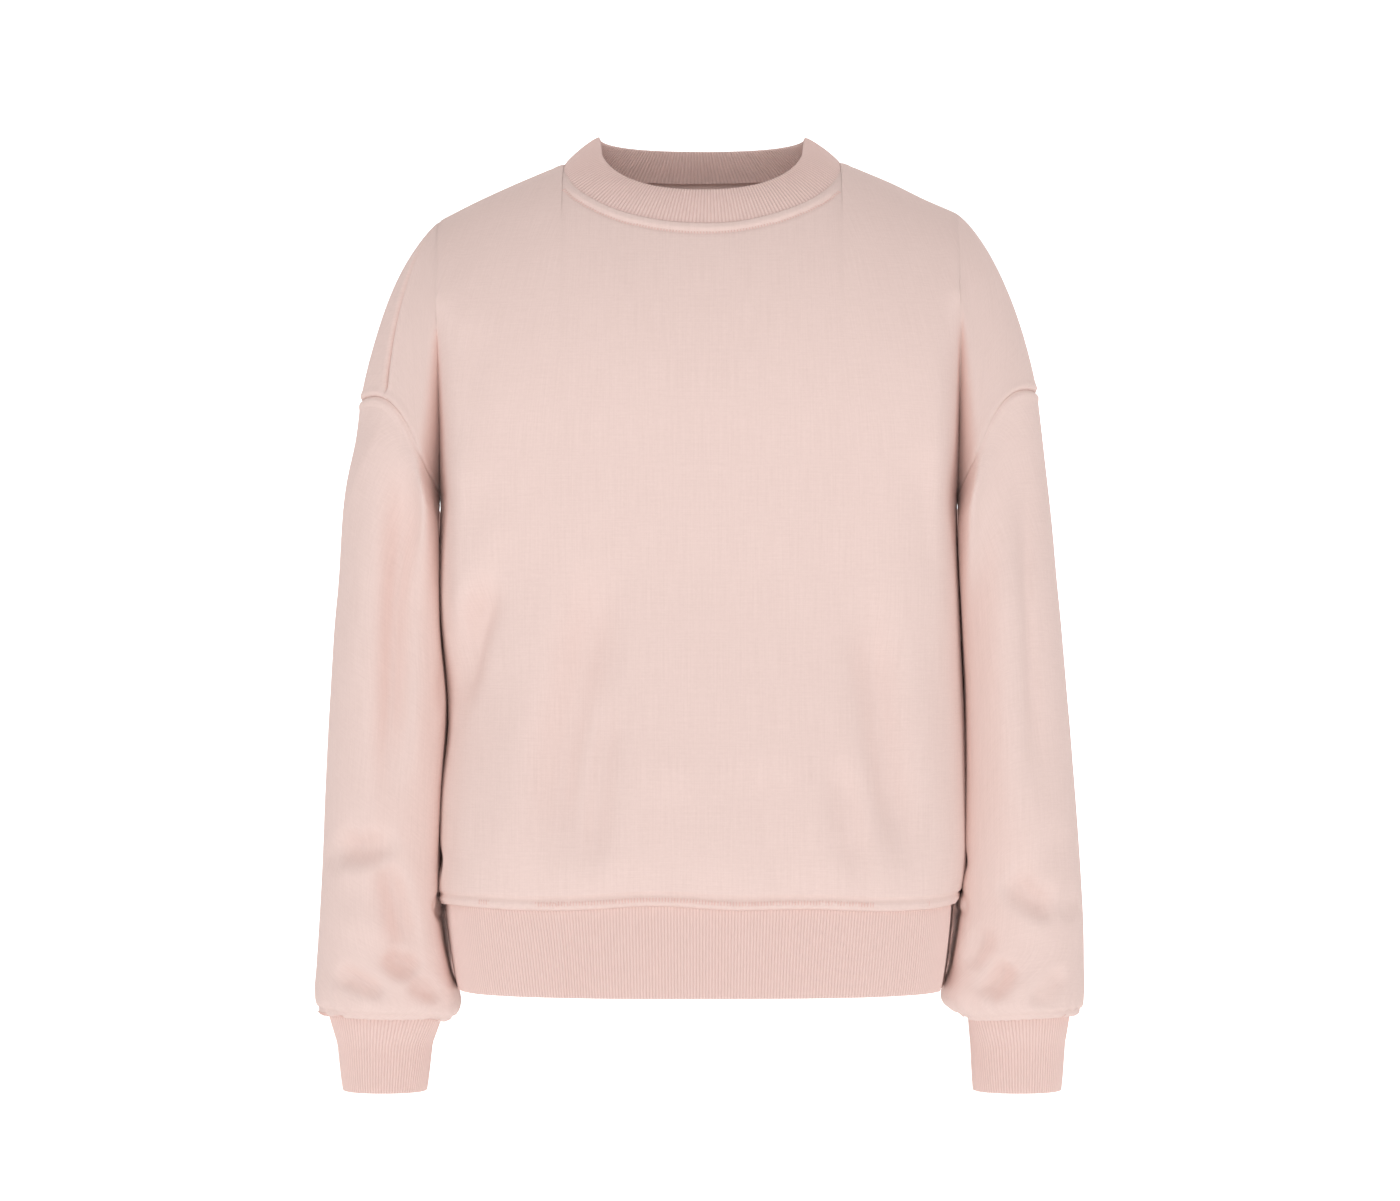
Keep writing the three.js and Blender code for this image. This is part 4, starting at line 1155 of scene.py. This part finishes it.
def cotton(name, colour, group, values, bump, tone_strength):
    """A matte cotton whose tone and relief come from a knit group."""
    material = bpy.data.materials.new(name)
    material.use_nodes = True
    tree = material.node_tree
    shader = tree.nodes["Principled BSDF"]
    shader.inputs["Metallic"].default_value = 0
    shader.inputs["Specular IOR Level"].default_value = 0.25
    shader.inputs["Sheen Weight"].default_value = 0.1
    shader.inputs["Sheen Roughness"].default_value = 0.5
    shader.inputs["Sheen Tint"].default_value = (1, 0.9, 0.87, 1)
    uv = tree.nodes.new("ShaderNodeUVMap")
    uv.uv_map = "cloth"
    knit = tree.nodes.new("ShaderNodeGroup")
    knit.node_tree = group
    for label, value in values.items():
        knit.inputs[label].default_value = value
    tree.links.new(uv.outputs[0], knit.inputs["Cloth"])
    mix = tree.nodes.new("ShaderNodeHueSaturation")
    mix.inputs["Color"].default_value = (*colour, 1)
    # Tone is the yarn's uneven colour, and from the rib group also the painted shade of its grooves;
    # darker tone is made more saturated too
    tone = knit.outputs["Tone"]
    tree.links.new(add(tree, multiply(tree, tone, tone_strength), 1), mix.inputs["Value"])
    warmth = subtract(tree, 1, multiply(tree, tone, tone_strength * 0.8))
    tree.links.new(warmth, mix.inputs["Saturation"])
    tree.links.new(mix.outputs[0], shader.inputs["Base Color"])
    tree.links.new(add(tree, multiply(tree, tone, -0.1), 0.9), shader.inputs["Roughness"])
    relief = tree.nodes.new("ShaderNodeBump")
    relief.inputs["Strength"].default_value = 0.6
    relief.inputs["Distance"].default_value = bump
    tree.links.new(knit.outputs["Height"], relief.inputs["Height"])
    tree.links.new(relief.outputs[0], shader.inputs["Normal"])
    return material


@functools.lru_cache(maxsize=1)
def fleece_material():
    sizes = settings()
    return cotton("fleece cotton", sizes.cloth_colour, knit_group(),
                  {"Pitch": sizes.knit_pitch, "Streaks": 0.55, "Mottle": 0.5}, 0.00012, 0.16)


@functools.lru_cache(maxsize=1)
def rib_material():
    # The grooves between the ribs get painted shade at 0.9 of its full strength
    return cotton("rib cotton", settings().rib_colour, rib_group(),
                  {"Painted groove shade": 0.9, "Loop length": 0.0012}, 0.0001, 0.16)


@functools.lru_cache(maxsize=1)
def thread_material():
    """Sewing thread: a fine twist along each stitch."""
    material = bpy.data.materials.new("sewing thread")
    material.use_nodes = True
    tree = material.node_tree
    shader = tree.nodes["Principled BSDF"]
    shader.inputs["Sheen Weight"].default_value = 0.1
    place = tree.nodes.new("ShaderNodeTexCoord")
    twist = multiply(tree, stretched_noise(tree, place.outputs["Object"], "twist"), 0.2)
    tone = tree.nodes.new("ShaderNodeHueSaturation")
    tone.inputs["Color"].default_value = (*settings().thread_colour, 1)
    tree.links.new(add(tree, twist, 0.88), tone.inputs["Value"])
    tree.links.new(tone.outputs[0], shader.inputs["Base Color"])
    tree.links.new(add(tree, twist, 0.55), shader.inputs["Roughness"])
    return material


# ---------------------------------------------------------------- operators

PANEL_CLOTHS = ["front_panel_cloth", "back_panel_cloth"]


class SWEATSHIRT_OT_panels(Operator):
    """Makes the front and back panels with their dropped shoulders."""

    bl_idname = "sweatshirt.panels"
    bl_label = "Body panels"

    def execute(self, context):
        for name in ("front_panel", "back_panel"):
            piece = sew_panel(name, fleece_material())
        return {"FINISHED"}


class SWEATSHIRT_OT_sleeves(Operator):
    """Makes both sleeves, each one piece of cloth with a seam under the arm."""

    bl_idname = "sweatshirt.sleeves"
    bl_label = "Sleeves"

    def execute(self, context):
        for side in ("right", "left"):
            piece = sew_panel(f"{side}_sleeve", fleece_material())
        return {"FINISHED"}


class SWEATSHIRT_OT_hem_band(Operator):
    """Makes the ribbed band that gathers the body in at the hem."""

    bl_idname = "sweatshirt.hem_band"
    bl_label = "Hem band"

    def execute(self, context):
        _, seams = whole_cloth(settings().fold_depth)
        top = seams["hem"]["points"].copy()
        outs = level_outs(top)
        bottom = top.copy()
        bottom[:, 2] = HEM_Z
        for side in ("right", "left"):
            here = top[:, 0] * SIGN[side] > 0
            bottom[here, 0] *= HEM_END[side] / half_width(side, HEM_SEAM_Z)
        piece = knit_band("hem_band", [top, bottom], outs, settings().ribs_hem, 14, 1.2, HEM_LEAN)
        return {"FINISHED"}


class SWEATSHIRT_OT_collar(Operator):
    """Makes the ribbed neckband, which stands up and leans in from its seam."""

    bl_idname = "sweatshirt.collar"
    bl_label = "Collar"

    def execute(self, context):
        _, seams = whole_cloth(settings().fold_depth)
        seam = seams["neck"]["points"]
        angle = np.arctan2(seam[:, 1] - RIDGE_Y, seam[:, 0] * COLLAR_SIDE_WEIGHT)
        power = 2 / COLLAR_TOP_SQUARENESS
        across = np.sign(np.cos(angle)) * np.abs(np.cos(angle)) ** power
        forward = np.abs(np.sin(angle)) ** power
        front = np.sin(angle) < 0
        end_y = np.where(front, COLLAR_TOP["front_y"], COLLAR_TOP["back_y"])
        end_z = np.where(front, COLLAR_TOP["front_z"], COLLAR_TOP["back_z"])
        top = np.stack([COLLAR_TOP["half_width"] * across, RIDGE_Y + (end_y - RIDGE_Y) * forward,
                        lerp(COLLAR_TOP["side_z"], end_z, forward)], axis=1)
        run = np.roll(seam[:-1], -1, axis=0) - np.roll(seam[:-1], 1, axis=0)
        outs = np.cross(run, (top - seam)[:-1])
        outs /= np.linalg.norm(outs, axis=1, keepdims=True)
        outs = np.concatenate([outs, outs[:1]])
        piece = knit_band("collar", [seam, top], outs, RIB_COUNT["collar"], 11, 1.6,
                          overlap=COLLAR_OVERLAP)
        return {"FINISHED"}


class SWEATSHIRT_OT_cuffs(Operator):
    """Makes both ribbed cuffs, which narrow below their seams and then run straight down."""

    bl_idname = "sweatshirt.cuffs"
    bl_label = "Cuffs"

    def execute(self, context):
        _, seams = whole_cloth(settings().fold_depth)
        for side in ("right", "left"):
            end = CUFF_END[side]
            middle_x = SIGN[side] * (end["outer"] + end["inner"]) / 2
            middle_y = (end["front"] + end["back"]) / 2
            top = seams[f"{side}_cuff"]["points"]
            angle = np.arctan2(top[:, 1] - middle_y, top[:, 0] - middle_x)
            outs = np.stack([np.cos(angle), np.sin(angle), np.zeros_like(angle)], axis=1)
            bottom = np.stack([middle_x + (end["outer"] - end["inner"]) / 2 * outs[:, 0],
                               middle_y + (end["back"] - end["front"]) / 2 * outs[:, 1],
                               np.full_like(angle, CUFF_Z)], axis=1)
            neck = lerp(bottom, top, CUFF_NECK["share"])
            neck[:, 2] = lerp(CUFF_Z, CUFF_SEAM_Z, CUFF_NECK["height"])
            piece = knit_band(f"{side}_cuff", [top, neck, bottom], outs, RIB_COUNT["cuff"], 14, 0.8)
        return {"FINISHED"}


class SWEATSHIRT_OT_stitching(Operator):
    """Sews the line of stitches beside the neck, hem and cuff seams."""

    bl_idname = "sweatshirt.stitching"
    bl_label = "Stitching"

    def execute(self, context):
        _, seams = whole_cloth(settings().fold_depth)
        lines = {
            "neck": (PANEL_CLOTHS, NECK_STITCH_END),
            "hem": (PANEL_CLOTHS, math.inf),
            "right_cuff": (["right_sleeve_cloth"], math.inf),
            "left_cuff": (["left_sleeve_cloth"], math.inf),
        }
        for name, (cloths, end_x) in lines.items():
            stitch_line(f"{name}_stitches", seams[name], cloths, end_x)
        return {"FINISHED"}


def cloth_tree(cloth):
    mesh = bpy.data.objects[cloth].data
    return BVHTree.FromPolygons([vert.co for vert in mesh.vertices],
                                [face.vertices for face in mesh.polygons])


def stitch_line(name, seam, cloths, end_x):
    """Lays short stitches on the cloth, all at the same distance from a seam, as far out as end_x."""
    trees = [cloth_tree(cloth) for cloth in cloths]
    points = seam["points"]
    along_seam = np.roll(points[:-1], -1, axis=0) - np.roll(points[:-1], 1, axis=0)
    beside = np.cross(seam["normals"][:-1], along_seam)
    beside /= np.linalg.norm(beside, axis=1, keepdims=True)
    places = []
    for point, side in zip(points[:-1], beside):
        if abs(point[0]) > end_x:
            places.append(None)
            continue
        found = []
        for sign in (-1, 1):
            target = Vector(point + sign * side * STITCH_LINE) * MM
            for tree in trees:
                hit, normal, _, distance = tree.find_nearest(target)
                if abs((hit - Vector(point) * MM).length - STITCH_LINE * MM) < STITCH_MISS:
                    found.append((distance, hit, normal))
        if found:
            _, hit, normal = min(found, key=lambda item: item[0])
            places.append((hit, normal))
    bm = bmesh.new()
    for run in unbroken_runs(places):
        sew_run(bm, run, settings().stitch_length)
    for face in bm.faces:
        face.smooth = True
    finish_piece(name, bm, thread_material())


def unbroken_runs(places):
    """Rows of places between gaps; a row without a gap comes back to its start."""
    if None not in places:
        return [places + places[:1]]
    first = places.index(None)
    runs = [[]]
    for place in places[first:] + places[:first]:
        if place is None:
            runs.append([])
        else:
            runs[-1].append(place)
    return [run for run in runs if len(run) > 2]


def sew_run(bm, places, stitch_length):
    """Adds evenly spaced stitches along a row of places on the cloth."""
    line = np.array([hit for hit, _ in places])
    outs = np.array([normal for _, normal in places])
    length = np.linalg.norm(np.diff(line, axis=0), axis=1).sum()
    count = int(length / stitch_length)
    spots, normals = spread({"points": line, "outs": outs}, count)
    size = Matrix.Diagonal((STITCH["half_length"], STITCH["half_width"], STITCH["half_height"], 1))
    for index in range(count):
        run = Vector(spots[index + 1] - spots[index]).normalized()
        up = Vector(normals[index]).normalized()
        side = run.cross(up).normalized()
        up = side.cross(run)
        turn = Matrix((side, run, up)).transposed().to_4x4()
        place = Matrix.Translation(Vector(spots[index]) + up * STITCH_LIFT)
        bmesh.ops.create_icosphere(bm, subdivisions=1, radius=1, matrix=place @ turn @ size)


class SWEATSHIRT_OT_studio(Operator):
    """Sets up the pale backdrop, the soft lights and the camera."""

    bl_idname = "sweatshirt.studio"
    bl_label = "Studio"

    def execute(self, context):
        make_backdrop()
        make_lights()
        make_camera()
        return {"FINISHED"}


def make_backdrop():
    """One sheet of white paper that curves up from the floor into the wall."""
    bm = bmesh.new()
    corners = [(BACKDROP["front_y"], BACKDROP["floor_z"])]
    for angle in np.linspace(-math.pi / 2, 0, BACKDROP["bend_steps"]):
        corners.append((BACKDROP["wall_y"] - BACKDROP["bend"] * (1 - math.cos(angle)),
                        BACKDROP["floor_z"] + BACKDROP["bend"] * (1 + math.sin(angle))))
    corners.append((BACKDROP["wall_y"], BACKDROP["top_z"]))
    verts = [bm.verts.new((-BACKDROP["half_width"], y, z)) for y, z in corners]
    edges = [bm.edges.new(pair) for pair in zip(verts, verts[1:])]
    swept = bmesh.ops.extrude_edge_only(bm, edges=edges)
    moved = [item for item in swept["geom"] if isinstance(item, bmesh.types.BMVert)]
    bmesh.ops.translate(bm, verts=moved, vec=(2 * BACKDROP["half_width"], 0, 0))
    for face in bm.faces:
        face.smooth = True
    mesh = bpy.data.meshes.new("backdrop")
    bm.to_mesh(mesh)
    bm.free()
    material = bpy.data.materials.new("white paper")
    material.use_nodes = True
    tree = material.node_tree
    shader = tree.nodes["Principled BSDF"]
    shader.inputs["Base Color"].default_value = (0.95, 0.95, 0.95, 1)
    shader.inputs["Roughness"].default_value = 1
    shader.inputs["Specular IOR Level"].default_value = 0
    shader.inputs["Emission Color"].default_value = (1, 1, 1, 1)
    seen = tree.nodes.new("ShaderNodeLightPath").outputs["Is Camera Ray"]
    glow = add(tree, multiply(tree, seen, PAPER_GLOW["seen"]), PAPER_GLOW["cast"])
    tree.links.new(glow, shader.inputs["Emission Strength"])
    mesh.materials.append(material)
    backdrop = bpy.data.objects.new("backdrop", mesh)
    bpy.context.scene.collection.objects.link(backdrop)


def make_lights():
    target = Vector(LIGHT_TARGET)
    for light in (dict(zip(LIGHT_COLUMNS, row)) for row in LIGHT_ROWS):
        data = bpy.data.lights.new(light["name"], "AREA")
        data.shape = "DISK"
        data.size = light["size"]
        data.energy = light["power"] * settings().light_strength
        data.color = light["colour"]
        lamp = bpy.data.objects.new(light["name"], data)
        lamp.location = light["at"]
        lamp.rotation_euler = (target - lamp.location).to_track_quat("-Z", "Y").to_euler()
        bpy.context.scene.collection.objects.link(lamp)
    world = bpy.data.worlds.new("studio air")
    world.use_nodes = True
    background = world.node_tree.nodes["Background"]
    background.inputs["Color"].default_value = AIR["colour"]
    background.inputs["Strength"].default_value = AIR["strength"]
    bpy.context.scene.world = world
    bpy.context.scene.view_settings.view_transform = "Standard"


def make_camera():
    data = bpy.data.cameras.new("camera")
    data.sensor_width = CAMERA["sensor"]
    data.lens = CAMERA["sensor"] * CAMERA["distance"] / CAMERA["view_width"]
    data.clip_end = CAMERA["far"]
    camera = bpy.data.objects.new("camera", data)
    camera.location = (CAMERA["x"], -CAMERA["distance"], CAMERA["z"])
    camera.rotation_euler = (math.pi / 2, 0, 0)
    bpy.context.scene.collection.objects.link(camera)
    bpy.context.scene.camera = camera


class SWEATSHIRT_PT_sidebar(Panel):
    """Lists the sizes and the steps in the 3D view's sidebar."""

    bl_label = "Sweatshirt"
    bl_space_type = "VIEW_3D"
    bl_region_type = "UI"
    bl_category = "Sweatshirt"

    def draw(self, context):
        for name in SweatshirtSizes.__annotations__:
            self.layout.prop(context.scene.sweatshirt, name)
        for step in STEPS:
            self.layout.operator(step.bl_idname)


STEPS = (SWEATSHIRT_OT_studio, SWEATSHIRT_OT_panels, SWEATSHIRT_OT_sleeves, SWEATSHIRT_OT_hem_band,
         SWEATSHIRT_OT_collar, SWEATSHIRT_OT_cuffs, SWEATSHIRT_OT_stitching)
CLASSES = (SweatshirtSizes, *STEPS, SWEATSHIRT_PT_sidebar)


def register():
    for item in CLASSES:
        bpy.utils.register_class(item)
    bpy.types.Scene.sweatshirt = PointerProperty(type=SweatshirtSizes)


def unregister():
    del bpy.types.Scene.sweatshirt
    for item in reversed(CLASSES):
        bpy.utils.unregister_class(item)


def main():
    register()
    bpy.ops.sweatshirt.studio()
    bpy.ops.sweatshirt.panels()
    bpy.ops.sweatshirt.sleeves()
    bpy.ops.sweatshirt.hem_band()
    bpy.ops.sweatshirt.collar()
    bpy.ops.sweatshirt.cuffs()
    bpy.ops.sweatshirt.stitching()


if __name__ == "__main__":
    main()
